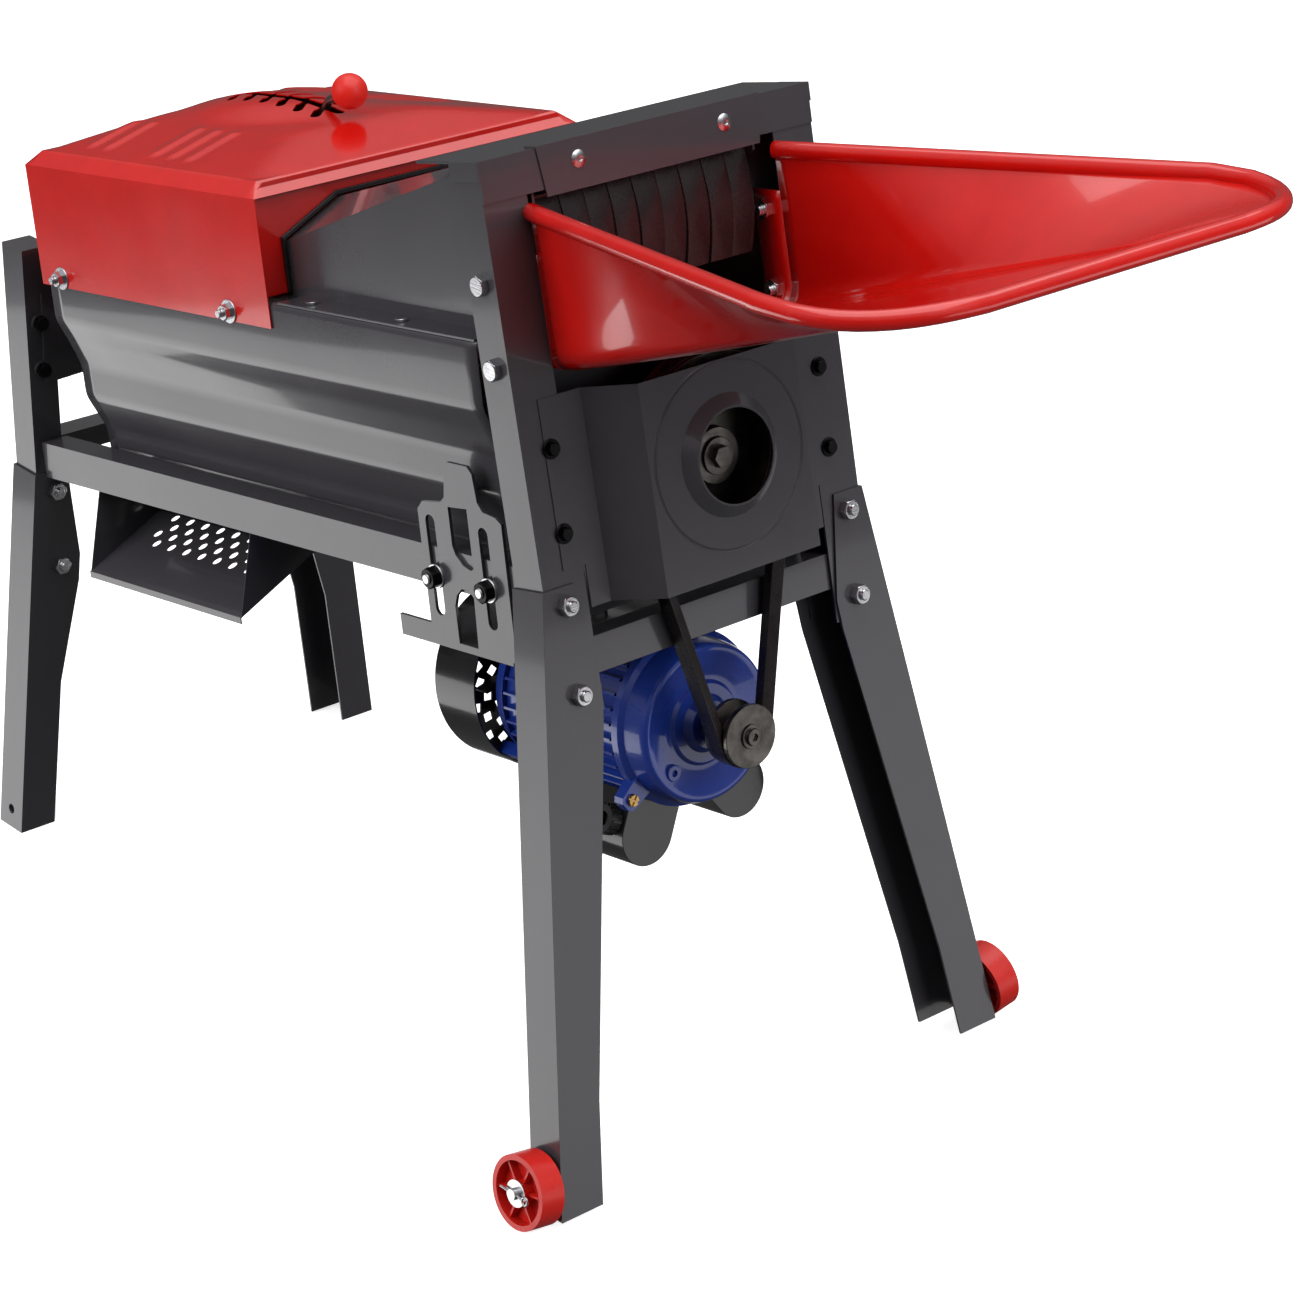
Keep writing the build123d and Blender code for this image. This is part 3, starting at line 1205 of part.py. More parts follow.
def axle_pin():
    """Headed pin through the leg, with a collar between the leg and the wheel."""
    y_out = -WHEEL_GAP - WHEEL_WIDTH - 7
    pin = rod_y(AXLE_RADIUS, y_out, PLATE + 4, 0, 0)
    pin += rod_y(9, PLATE + AXLE_GAP, PLATE + 4, 0, 0)
    pin += rod_y(9, -WHEEL_GAP + 0.3, -AXLE_GAP, 0, 0)
    return pin - rod_x(1.5, -20, 20, y_out + 3, 0)


def wheel_washer():
    """Plain washer outside the wheel."""
    face = -WHEEL_GAP - WHEEL_WIDTH - 0.3
    return rod_y(12, face - 1.6, face, 0, 0) - rod_y(AXLE_RADIUS + 0.2, face - 3, face + 3, 0, 0)


def split_pin():
    """Cotter pin: an eye and two spread legs."""
    y = -WHEEL_GAP - WHEEL_WIDTH - 4
    legs = rod_x(1.2, -17, 12, y, 0)
    eye = Location((15, y, 0), (90, 0, 0)) * Torus(3.4, 1.2)
    return legs + eye


def main():
    """Write every sub-part."""
    save("post_front_near", front_post(), FRONT)
    save("post_front_far", mirror(front_post(), about=Plane.XZ), FRONT)
    save("post_rear_near", rear_post(), REAR)
    save("post_rear_far", mirror(rear_post(), about=Plane.XZ), REAR)
    axle = axle_place()
    legs = {"front": cut_at_ground(front_leg(), FRONT, FRONT_FOOT_GAP)}
    legs["front"] -= axle * rod_y(AXLE_RADIUS + 0.3, -15, 15, 0, 0)
    legs["rear"] = cut_at_ground(rear_leg(), REAR, 0)
    for name, near in legs.items():
        save("leg_" + name + "_near", near, WORLD)
        save("leg_" + name + "_far", mirror(near, about=Plane.XZ), WORLD)
    front_bolts = placed(both_sides(group([leg_bolt(z) for z in FRONT_BOLTS_Z])), FRONT)
    rear_bolts = placed(both_sides(group([leg_bolt(z) for z in REAR_BOLTS_Z])), REAR)
    save("leg_bolts", group([front_bolts, rear_bolts]), WORLD)
    save("rail_near", rail())
    save("rail_far", mirror(rail(), about=Plane.XZ))
    save("crossbars", group([placed(front_crossbar(), FRONT), placed(rear_crossbar(), REAR)]), WORLD)
    save("cap_beam", cap_beam() + curtain_ears(), FRONT)
    save("throat_flap", throat_flap(), FRONT)
    save("flap_rivets", group([flap_rivet(-RIVET_Y), flap_rivet(RIVET_Y)]), FRONT)
    save("feed_curtain", feed_curtain(), FRONT)
    save("trough_near", trough_side())
    save("trough_far", mirror(trough_side(), about=Plane.XZ))
    save("rear_gussets", both_sides(rear_gusset()), REAR)
    save("concave", concave())
    save("end_plate_front", front_end_plate())
    save("end_plate_rear", rear_end_plate())
    front_face, rear_face = TROUGH_FRONT + 3.2, TROUGH_REAR - 3.2
    save("bearings", group([bearing(front_face, front_face + 24.8), bearing(rear_face, rear_face - 24.8)]))
    save("bearing_screws", group([bearing_screws(front_face, 1), bearing_screws(rear_face, -1)]))
    save("drum_shaft", drum_shaft())
    save("drum_body", drum_body())
    save("drum_teeth", drum_teeth())
    save("drum_pulley", group([drum_pulley(), drum_pulley_bolt()]))
    save("v_belt", v_belt())
    save("shroud", shroud())
    save("shroud_trim", shroud_trim())
    save("shroud_screws", both_sides(group([shroud_screw(x) for x in SHROUD_SCREW_X])))
    save("hood", hood())
    save("hood_studs", both_sides(group([hood_stud(x) for x in STUD_X])))
    save("lever_rod", lever_rod())
    save("lever_knob", lever_knob())
    save("outlet_flap", outlet_flap())
    save("lever_bearings", lever_bearings())
    save("hopper", hopper())
    save("hopper_bolts", both_sides(group([hopper_bolt(z) for z in HOPPER_BOLTS_Z])), FRONT)
    save("belt_cover", belt_cover(), FRONT)
    on_cover = placed(both_sides(group([cover_screw(-y, z) for y, z in COVER_SCREWS])), FRONT)
    on_gussets = placed(both_sides(group([gusset_bolt(z) for z in GUSSET_BOLTS_Z])), REAR)
    save("black_screws", group([on_cover, on_gussets]), WORLD)
    save("grain_chute", grain_chute())
    save("motor_bracket", motor_bracket())
    save("bracket_bolts", both_sides(group([bracket_bolt(x) for x in BRACKET_BOLTS_X])))
    save("seat_bolts", group([seat_bolt(x, y) for x, y in seat_bolts()]))
    save("motor_frame", motor_frame())
    save("motor_bell_front", motor_bell_front())
    save("motor_bell_rear", motor_bell_rear())
    save("bell_screws", group([bell_screw(a) for a in LUG_ANGLES]))
    save("fan_cowl", fan_cowl())
    save("stator", group([stator_core(), stator_windings()]))
    save("motor_rotor", motor_rotor())
    save("cooling_fan", cooling_fan())
    save("motor_pulley", group([motor_pulley(), motor_pulley_bolt()]))
    save("capacitor_covers", group([capacitor_cover(CAP_NEAR), capacitor_cover(CAP_FAR)]))
    save("cable_gland", cable_gland())
    near_wheel = placed(wheel(), axle)
    save("wheel_near", near_wheel, WORLD)
    save("wheel_far", mirror(near_wheel, about=Plane.XZ), WORLD)
    fittings = placed(group([axle_pin(), wheel_washer(), split_pin()]), axle)
    save("wheel_fittings", both_sides(fittings), WORLD)


main()
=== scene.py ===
import json
import math

import bmesh
import bpy
from mathutils import Matrix, Vector


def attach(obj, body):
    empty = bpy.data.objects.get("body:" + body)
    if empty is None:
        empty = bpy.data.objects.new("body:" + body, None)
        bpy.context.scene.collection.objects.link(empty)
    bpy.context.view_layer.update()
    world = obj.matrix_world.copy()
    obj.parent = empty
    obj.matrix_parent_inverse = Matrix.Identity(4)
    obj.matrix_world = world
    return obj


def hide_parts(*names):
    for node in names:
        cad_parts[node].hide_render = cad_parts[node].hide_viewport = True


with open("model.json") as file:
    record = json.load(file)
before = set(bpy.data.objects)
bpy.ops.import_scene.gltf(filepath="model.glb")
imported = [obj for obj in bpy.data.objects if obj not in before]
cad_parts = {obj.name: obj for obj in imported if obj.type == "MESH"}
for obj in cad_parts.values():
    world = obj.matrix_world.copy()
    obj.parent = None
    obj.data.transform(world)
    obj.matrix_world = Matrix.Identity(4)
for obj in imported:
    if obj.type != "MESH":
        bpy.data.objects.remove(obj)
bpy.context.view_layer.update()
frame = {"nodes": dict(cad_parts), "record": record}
NODES = frame["nodes"]

# the machine's three tilted frames, as in the CAD model (metres, degrees)
BODY_PITCH = 8.6
FRONT_LEAN = 3.8
REAR_LEAN = 10.0
BODY_ORIGIN = (0.1953, 0.0, 0.5238)
FRAME_LENGTH = 0.800

BODY = Matrix.Translation(BODY_ORIGIN) @ Matrix.Rotation(math.radians(-BODY_PITCH), 4, "Y")
FRONT = BODY @ Matrix.Rotation(math.radians(-FRONT_LEAN), 4, "Y")
REAR = BODY @ Matrix.Translation((-FRAME_LENGTH, 0, 0)) @ Matrix.Rotation(math.radians(REAR_LEAN), 4, "Y")

MM = Matrix.Scale(0.001, 4)

# hopper, millimetres in the body frame
HOPPER_ROOT_GAP = 0.6          # the root follows the leaning posts at this distance
HOPPER_HALF = 132.0
HOPPER_FLARE = -0.8            # the walls start just inside the posts
HOPPER_FLOOR = 170.0
FLOOR_CURVE = 1.06             # above 1 the floor starts flatter than it ends
FLOOR_SAG = 3.0
HOPPER_RIM = 301.0
LIP_X = 490.0
LIP_Z = 290.0
LIP_HALF = 268.0
LIP_STEP = 6.0                 # depth of the floor under the rim at the lip
LIP_CORNER = 95.0
FOLD_RADIUS = 22.0
BEAD_RADIUS = 7.6
BEAD_LIFT = 1.5
TONGUE_BACKS = (0.0, 12.0, 34.0)
SHEET = 1.2

# hood, millimetres in the body frame
HOOD_REAR = -727.0
HOOD_FRONT = -345.0
HOOD_HALF = 178.5
HOOD_BOTTOM = 180.0
HOOD_EDGE = 294.0
HOOD_CREASE = 306.0
HOOD_BAND = 13.0
APEX = (-664.0, -441.0, 62.0)
APEX_RISE = 20.0
APEX_LIMIT = 1.03
CREASE_SHARPNESS = 9.0
DOME_CENTRE = -562.0
DOME_REACH = (108.0, 60.0)
DOME_RISE = 11.0
DOME_FADE = 1.25
RIB_CENTRES = (-668.0, -640.0, -560.0, -532.0, -504.0)
RIB_SLANT = 0.22
RIB_HALF = 7.0
RIB_SPAN = (78.0, 150.0)
RIB_FADE = 8.0
RIB_RISE = 1.6
SLOT_REAR = -650.0
SLOT_FRONT = -462.0
SLOT_HALF = 5.5
NOTCH_REACH = 21.0
NOTCH_NECK = 4.2
NOTCH_TIP = 4.8
NOTCH_PAIRS = 6
OPENING_HALF = 149.5
OPENING_TOP_HALF = 88.0
OPENING_HEIGHTS = (206.0, 250.5, 280.0)
WALL_RECESS = 8.0
WALL_CORNER = 14.0

# trough sides, millimetres in the body frame
TROUGH_REAR = -717.0
TROUGH_FRONT = -52.0
TROUGH_LINE = ((-144, 202), (-176, 202), (-176, 146), (-166, 124),
               (-156, 97), (-156, 67), (-139, 31), (-136.5, -14))
TROUGH_FOLD = 6.0
TROUGH_WAVE = 0.12             # height of the sheet's slight unevenness

# feed curtain, millimetres in the front frame
CURTAIN_X = -18.0
CURTAIN_TOP = 312.0
CURTAIN_BOTTOM = 221.0
CURTAIN_HALF = 114.0
CURTAIN_STRIPS = 9
STRIP_THICKNESS = 2.4
STRIP_BULGE = 1.6
STRIP_BELLY = 7.0
ROD_RADIUS = 3.0
ROD_OVERHANG = 9.0

# bolts, millimetres in the body, front or rear frame
WAYS = {"+x": ("Y", 90), "-x": ("Y", -90), "+y": ("X", -90), "-y": ("X", 90)}
SIDES = ((-1, "-y", "+y"), (1, "+y", "-y"))     # sign, the way out and the way back in
M10_FLATS = 16.0
M10_WIDE_FLATS = 17.0
M8_FLATS = 13.0
M6_FLATS = 10.0
M10_RADIUS = 5.0
M8_RADIUS = 4.0
THREAD_PITCH = 1.5
POST_FACE = 176.0
LEG_BOLT_Y = 157.0
FRONT_BOLTS_Z = (-16.0, -92.5)
REAR_BOLTS_Z = (-41.0, -121.0)
HOPPER_BOLT_X = -18.0
HOPPER_BOLTS_Z = (253.0, 184.0)
STUD_X = (-690.0, -408.0)
STUD_Z = 189.0
CARRIAGE_FACE = 172.0
CARRIAGE_BOLTS_X = (-152.0, -79.0)
CARRIAGE_BOLT_Z = -13.0
COVER_SCREW_Y = 147.0
COVER_SCREWS_Z = (113.0, 42.0)
GUSSET_BOLT_Y = 162.0
GUSSET_BOLTS_Z = (135.0, 87.0)
RIVET_Y = 78.0
RIVET_Z = 336.0

# motor's front end shield, millimetres in the body frame
MOTOR_AXIS = (7.0, -175.0)
BELL_BACK = -65.9
BELL_LIP = -30.0
LUG_ANGLES = (6, 126, 246)
LUG_RADIUS = 90.0
STUD_ANGLE = 128.0
STUD_RADIUS = 53.5

# camera
CAMERA_PLACE = (2.2607, -1.8280, 1.6969)
CAMERA_TILT = 65.06
CAMERA_TURN = 49.37
CAMERA_LENS = 98.0

# brightness of the surroundings, low down and overhead
WORLD_LOW = 0.08
WORLD_HIGH = 0.80


# ---------------------------------------------------------------------------
# material helpers
# ---------------------------------------------------------------------------

class Nodes:
    """Short names for building one material's node tree."""

    def __init__(self, name):
        self.material = bpy.data.materials.new(name)
        self.material.use_nodes = True
        self.tree = self.material.node_tree
        self.shader = self.tree.nodes["Principled BSDF"]
        self.coords = self.add("ShaderNodeTexCoord").outputs["Object"]

    def add(self, kind, **settings):
        node = self.tree.nodes.new(kind)
        for key, value in settings.items():
            setattr(node, key, value)
        return node

    def link(self, source, target):
        self.tree.links.new(source, target)

    def noise(self, scale, detail=4.0, rough=0.5, stretch=None):
        """Noise value in 0..1 at features per metre."""
        node = self.add("ShaderNodeTexNoise")
        node.inputs["Scale"].default_value = scale
        node.inputs["Detail"].default_value = detail
        node.inputs["Roughness"].default_value = rough
        source = self.coords
        if stretch:
            mapping = self.add("ShaderNodeMapping")
            mapping.inputs["Scale"].default_value = stretch
            self.link(source, mapping.inputs["Vector"])
            source = mapping.outputs["Vector"]
        self.link(source, node.inputs["Vector"])
        return node.outputs["Fac"]

    def ramp(self, value, low, high, start=0.3, end=0.7):
        """Map a value to a colour or grey between two stops."""
        node = self.add("ShaderNodeValToRGB")
        stops = node.color_ramp.elements
        stops[0].position, stops[1].position = start, end
        stops[0].color = low if len(low) == 4 else (*low, 1)
        stops[1].color = high if len(high) == 4 else (*high, 1)
        self.link(value, node.inputs["Fac"])
        return node.outputs["Color"]

    def grey(self, value, low, high, start=0.3, end=0.7):
        return self.ramp(value, (low, low, low), (high, high, high), start, end)

    def mix(self, factor, a, b, kind="MIX"):
        """Blend two colours; either may be a tuple."""
        node = self.add("ShaderNodeMix", data_type="RGBA", blend_type=kind)
        if isinstance(factor, float):
            node.inputs["Factor"].default_value = factor
        else:
            self.link(factor, node.inputs["Factor"])
        for socket, value in ((node.inputs[6], a), (node.inputs[7], b)):
            if isinstance(value, tuple):
                socket.default_value = (*value, 1)
            else:
                self.link(value, socket)
        return node.outputs[2]

    def bump(self, height, strength, distance, below=None):
        node = self.add("ShaderNodeBump")
        node.inputs["Strength"].default_value = strength
        node.inputs["Distance"].default_value = distance
        self.link(height, node.inputs["Height"])
        if below is not None:
            self.link(below, node.inputs["Normal"])
        return node.outputs["Normal"]

    def finish(self, color=None, roughness=None, normal=None, **fixed):
        for socket, source in (("Base Color", color), ("Roughness", roughness), ("Normal", normal)):
            if source is None:
                continue
            if isinstance(source, tuple):
                self.shader.inputs[socket].default_value = (*source, 1)
            elif isinstance(source, float):
                self.shader.inputs[socket].default_value = source
            else:
                self.link(source, self.shader.inputs[socket])
        for key, value in fixed.items():
            self.shader.inputs[key.replace("_", " ").title().replace("Ior", "IOR")].default_value = value
        return self.material


def paint(name, color, dark, gloss, coat, wave=0.25, grain=0.25):
    """Enamel over pressed sheet: orange peel, slow waviness and faint dust."""
    n = Nodes(name)
    slow = n.noise(5.0, 2.0)
    fine = n.noise(900.0, 2.0)
    dust = n.noise(26.0, 6.0, 0.65)
    base = n.mix(n.grey(dust, 0.0, 1.0, 0.35, 0.75), dark, color)
    rough = n.grey(n.noise(12.0, 2.0, 0.4), gloss * 0.92, gloss * 1.1)
    peel = n.bump(n.noise(260.0, 3.0), grain, 0.0003)
    normal = n.bump(slow, wave, 0.006, n.bump(fine, 0.04, 0.0001, peel))
    return n.finish(base, rough, normal, coat_weight=coat, coat_roughness=0.06)


def red_paint():
    return paint("red_enamel", (0.56, 0.006, 0.003), (0.49, 0.005, 0.003), 0.2, 0.8)


def grey_paint():
    return paint("grey_enamel", (0.046, 0.043, 0.049), (0.043, 0.040, 0.046), 0.24, 0.6, 0.15, 0.12)


def black_paint():
    return paint("black_enamel", (0.008, 0.008, 0.009), (0.012, 0.012, 0.013), 0.2, 0.6, 0.1)


def blue_paint():
    return paint("blue_enamel", (0.011, 0.034, 0.25), (0.009, 0.028, 0.20), 0.26, 0.8, 0.3, 0.6)


def metal(name, color, dark, gloss, grain=0.2, scratch=(40.0, 40.0, 900.0)):
    """Bare or plated metal with turning marks and dull patches."""
    n = Nodes(name)
    patch = n.noise(55.0, 5.0, 0.6)
    base = n.mix(n.grey(patch, 0.0, 1.0), dark, color)
    rough = n.grey(n.noise(80.0, 4.0), gloss * 0.75, gloss * 1.4)
    normal = n.bump(n.noise(1.0, 3.0, 0.5, scratch), grain, 0.0003)
    return n.finish(base, rough, normal, metallic=1.0)


def zinc():
    return metal("bright_zinc", (0.80, 0.80, 0.82), (0.62, 0.62, 0.66), 0.22)


def black_steel():
    return metal("black_oxide", (0.035, 0.035, 0.037), (0.02, 0.02, 0.02), 0.35)


def bare_steel():
    return metal("machined_steel", (0.52, 0.51, 0.50), (0.36, 0.35, 0.34), 0.3)


def cast_iron():
    return metal("turned_iron", (0.21, 0.195, 0.18), (0.13, 0.12, 0.11), 0.36, 0.5)


def copper():
    return metal("brass_screw", (0.80, 0.52, 0.20), (0.6, 0.36, 0.12), 0.25)


def plastic(name, color, dark, gloss, grain):
    """Moulded plastic with a fine spark-eroded grain."""
    n = Nodes(name)
    base = n.mix(n.grey(n.noise(30.0, 4.0), 0.0, 1.0), dark, color)
    rough = n.grey(n.noise(70.0, 4.0), gloss * 0.85, gloss * 1.2)
    normal = n.bump(n.noise(1500.0, 2.0), grain, 0.0002)
    return n.finish(base, rough, normal)


def rubber():
    return plastic("rubber", (0.012, 0.009, 0.010), (0.018, 0.014, 0.015), 0.26, 0.15)


def black_plastic():
    return plastic("black_plastic", (0.012, 0.012, 0.012), (0.018, 0.018, 0.018), 0.38, 0.3)


def red_plastic():
    return plastic("red_plastic", (0.62, 0.018, 0.012), (0.54, 0.014, 0.01), 0.3, 0.12)


SLOT_MATERIALS = {
    "red_paint": red_paint,
    "grey_paint": grey_paint,
    "black_paint": black_paint,
    "blue_paint": blue_paint,
    "zinc": zinc,
    "black_steel": black_steel,
    "bare_steel": bare_steel,
    "cast_iron": cast_iron,
    "copper": copper,
    "rubber": rubber,
    "black_plastic": black_plastic,
    "red_plastic": red_plastic,
}
MATERIALS = {slot: make() for slot, make in SLOT_MATERIALS.items()}


def finish_cad_nodes():
    """Every CAD node gets its slot's procedural material and softened edges."""
    for part in frame["record"]["subparts"]:
        node = NODES[part["node"]]
        node.data.materials.clear()
        node.data.materials.append(MATERIALS[part["material_slot"]])
        weld = node.modifiers.new("weld", "WELD")
        weld.merge_threshold = 0.00001
        flatten = node.modifiers.new("flatten", "DECIMATE")
        flatten.decimate_type = "DISSOLVE"
        flatten.angle_limit = math.radians(0.7)
        bevel = node.modifiers.new("edge_rounding", "BEVEL")
        bevel.width = 0.0006
        bevel.segments = 2
        bevel.limit_method = "ANGLE"
        bevel.angle_limit = math.radians(18)
        node.data.polygons.foreach_set("use_smooth", [True] * len(node.data.polygons))
        node.modifiers.new("flat_faces", "WEIGHTED_NORMAL")


# ---------------------------------------------------------------------------
# mesh helpers
# ---------------------------------------------------------------------------

def grid_mesh(name, rows, where, close_rows=False):
    """A mesh through rows of points given in millimetres in one of the frames."""
    place = where @ MM
    bm = bmesh.new()
    made = [[bm.verts.new(place @ Vector(point)) for point in row] for row in rows]
    count = len(rows[0])
    for i in range(len(made) - 1):
        for j in range(count if close_rows else count - 1):
            k = (j + 1) % count
            bm.faces.new((made[i][j], made[i][k], made[i + 1][k], made[i + 1][j]))
    bmesh.ops.recalc_face_normals(bm, faces=bm.faces)
    return new_piece(name, bm)


def new_piece(name, bm):
    """Object from a bmesh, smooth except at real corners."""
    mesh = bpy.data.meshes.new(name)
    bm.to_mesh(mesh)
    bm.free()
    piece = bpy.data.objects.new(name, mesh)
    bpy.context.scene.collection.objects.link(piece)
    mesh.polygons.foreach_set("use_smooth", [True] * len(mesh.polygons))
    mesh.set_sharp_from_angle(angle=math.radians(38))
    return piece


def thicken(piece, thickness, offset):
    """Give an open surface a sheet thickness."""
    solid = piece.modifiers.new("sheet", "SOLIDIFY")
    solid.thickness = thickness / 1000
    solid.offset = offset
    solid.use_even_offset = True


def soften(piece, width=0.5, segments=2, angle=35):
    """Round the piece's sharp edges a little."""
    bevel = piece.modifiers.new("edge_rounding", "BEVEL")
    bevel.width = width / 1000
    bevel.segments = segments
    bevel.limit_method = "ANGLE"
    bevel.angle_limit = math.radians(angle)
    piece.modifiers.new("flat_faces", "WEIGHTED_NORMAL")


def settle(piece, slot, body, *nodes):
    """Material, slot, body and the CAD nodes that the piece stands for."""
    piece.data.materials.append(MATERIALS[slot])
    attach(piece, body)
    if nodes:
        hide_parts(*nodes)
    return piece


def apply_modifiers(piece):
    """Turn the piece's modifiers into mesh."""
    depsgraph = bpy.context.evaluated_depsgraph_get()
    done = bpy.data.meshes.new_from_object(piece.evaluated_get(depsgraph))
    piece.modifiers.clear()
    piece.data = done


def tube_mesh(name, centres, radius, where, sides=16):
    """A round tube along points, open at both ends."""
    rows = []
    count = len(centres)
    points = [Vector(c) for c in centres]
    side = None
    for i, point in enumerate(points):
        ahead = points[min(i + 1, count - 1)] - points[max(i - 1, 0)]
        ahead.normalize()
        if side is None:
            side = ahead.cross(Vector((0, 0, 1))).normalized()
        side = (side - ahead * side.dot(ahead)).normalized()
        up = side.cross(ahead)
        ring = []
        for k in range(sides):
            angle = 2 * math.pi * k / sides
            ring.append(point + radius * (math.cos(angle) * side + math.sin(angle) * up))
        rows.append(ring)
    return grid_mesh(name, rows, where, close_rows=True)


def arc(centre, radius, start, end, steps=9):
    """Points along a circle, angles in radians."""
    return [Vector(centre) + radius * Vector((math.cos(t), math.sin(t))) for t in spread(start, end, steps)]


def prism(bm, place, outline, low, high):
    """Upright solid over an outline of (x, y) points."""
    floor = [bm.verts.new(place @ Vector((x, y, low))) for x, y in outline]
    roof = [bm.verts.new(place @ Vector((x, y, high))) for x, y in outline]
    bm.faces.new(list(reversed(floor)))
    bm.faces.new(roof)
    for k in range(len(outline)):
        m = (k + 1) % len(outline)
        bm.faces.new((floor[k], floor[m], roof[m], roof[k]))


def smooth_step(value):
    value = min(max(value, 0.0), 1.0)
    return value * value * (3 - 2 * value)


def spread(start, end, count):
    """Evenly spaced values, both ends included."""
    return [start + (end - start) * i / (count - 1) for i in range(count)]


# ---------------------------------------------------------------------------
# hopper
# ---------------------------------------------------------------------------

def hopper_profile(share):
    """Near half of the hopper's section at a share of its length, rim to middle, as (y, z)."""
    rim_y = HOPPER_HALF + HOPPER_FLARE + (LIP_HALF - HOPPER_HALF - HOPPER_FLARE) * share
    rim_z = HOPPER_RIM + (LIP_Z - HOPPER_RIM) * share
    rise = share ** FLOOR_CURVE
    floor_z = HOPPER_FLOOR + (LIP_Z - LIP_STEP - HOPPER_FLOOR) * rise
    fold_y = HOPPER_HALF + HOPPER_FLARE * (1 - share) + 2 * share
    wall = Vector((rim_y - fold_y, rim_z - floor_z))
    length = wall.length
    wall.normalize()
    opening = math.acos(max(-1.0, min(1.0, -wall.x)))
    reach = min(FOLD_RADIUS / math.tan(opening / 2), 0.6 * length)
    fold = Vector((fold_y, floor_z))
    start = fold + wall * reach
    end = fold - Vector((reach, 0))
    points = [Vector((rim_y, rim_z)).lerp(start, t) for t in spread(0, 1, 14)]
    for t in spread(0, 1, 12)[1:]:
        points.append((1 - t) ** 2 * start + 2 * t * (1 - t) * fold + t * t * end)
    points += [end.lerp(Vector((0, floor_z)), t) for t in spread(0, 1, 16)[1:]]
    sag = FLOOR_SAG * math.sin(math.pi * share)
    return [(-p.x, p.y - sag * smooth_step(1 - p.x / fold_y)) for p in points]


def hopper_point(column, share):
    """Point of the scoop's near half at a share of the way from the posts to the lip."""
    y, z = hopper_profile(share)[column]
    root = HOPPER_ROOT_GAP - hopper_profile(0.0)[column][1] * math.tan(math.radians(FRONT_LEAN))
    return (root + (LIP_X - root) * share, y, z)


def hopper_end(column):
    """Share of the length at which a column of the surface meets the rounded lip."""
    low, high = 0.3, 1.0
    for _ in range(30):
        share = (low + high) / 2
        x, y, _ = hopper_point(column, share)
        if inside_lip(x, -y):
            low = share
        else:
            high = share
    return low


def inside_lip(x, y):
    """Whether a point is inside the hopper's outline seen from above."""
    bend = math.atan((LIP_HALF - HOPPER_HALF - HOPPER_FLARE) / (LIP_X + 15))
    back = LIP_CORNER * math.tan((math.pi / 2 + bend) / 2)
    centre = Vector((LIP_X - LIP_CORNER, LIP_HALF - back))
    tangent_x = LIP_X - back * math.cos(bend)
    if x <= tangent_x or y <= centre.y:
        return x <= LIP_X
    return (Vector((x, y)) - centre).length <= LIP_CORNER


def hopper_rows():
    """Rows of points from the posts to the lip, each running from rim to rim."""
    columns = range(len(hopper_profile(0.5)))
    ends = [hopper_end(column) for column in columns]
    rows = []
    for step in spread(0, 1, 44):
        near = [hopper_point(column, ends[column] * step) for column in columns]
        rows.append(near + [(x, -y, z) for x, y, z in reversed(near[:-1])])
    return rows


def hopper():
    """Feed scoop made as one smooth sheet, its rolled rim and its root."""
    rows = hopper_rows()
    scoop = grid_mesh("hopper_scoop", rows, BODY)
    thicken(scoop, SHEET, 0.0)
    edge = [row[0] for row in rows] + rows[-1][1:-1] + [row[-1] for row in reversed(rows)]
    centres = [(x, y, z + BEAD_LIFT) for x, y, z in edge]
    bead = tube_mesh("hopper_rim", centres, BEAD_RADIUS, BODY, 20)
    settle(scoop, "red_paint", "body", "hopper")
    settle(bead, "red_paint", "body")
    tongue = hopper_tongue()
    settle(tongue, "red_paint", "body")


def hopper_tongue():
    """The hopper's root between the posts, where its bolts pass."""
    rows = []
    for back in TONGUE_BACKS:
        row = []
        for column in range(4, len(hopper_profile(0.0))):
            x, y, z = hopper_point(column, 0.0)
            row.append((x - back, y, z))
        rows.append(row + [(x, -y, z) for x, y, z in reversed(row[:-1])])
    tongue = grid_mesh("hopper_tongue", rows, BODY)
    thicken(tongue, SHEET, 0.0)
    return tongue


# ---------------------------------------------------------------------------
# hood
# ---------------------------------------------------------------------------

def hood_height(x, y):
    """Height of the pressed top at a place."""
    inward = min(x - HOOD_REAR, HOOD_FRONT - x, HOOD_HALF - abs(y))
    if inward < HOOD_BAND:
        return HOOD_EDGE + (HOOD_CREASE - HOOD_EDGE) * inward / HOOD_BAND
    rear, front, half = APEX
    shares = [(x - HOOD_REAR - HOOD_BAND) / (rear - HOOD_REAR - HOOD_BAND),
              (HOOD_FRONT - HOOD_BAND - x) / (HOOD_FRONT - HOOD_BAND - front),
              (HOOD_HALF - HOOD_BAND - abs(y)) / (HOOD_HALF - HOOD_BAND - half), 1.0]
    sharp = CREASE_SHARPNESS
    share = -math.log(sum(math.exp(-sharp * s) for s in shares)) / sharp
    share = max(share, 0.0) / (1 - math.log(1 + math.exp(-sharp)) / sharp)
    away = math.hypot((x - DOME_CENTRE) / DOME_REACH[0], y / DOME_REACH[1])
    dome = DOME_RISE * smooth_step(DOME_FADE - away)
    return HOOD_CREASE + APEX_RISE * min(share, APEX_LIMIT) + dome + hood_ribs(x, y)


def hood_ribs(x, y):
    """Shallow pressed ribs on the two side slopes."""
    inner, outer = RIB_SPAN
    along = smooth_step((abs(y) - inner) / RIB_FADE) * smooth_step((outer - abs(y)) / RIB_FADE)
    rise = 0.0
    for centre in RIB_CENTRES:
        across = abs(x - centre - RIB_SLANT * (abs(y) - 110)) / RIB_HALF
        rise += RIB_RISE * smooth_step(1.4 - across) * along
    return rise


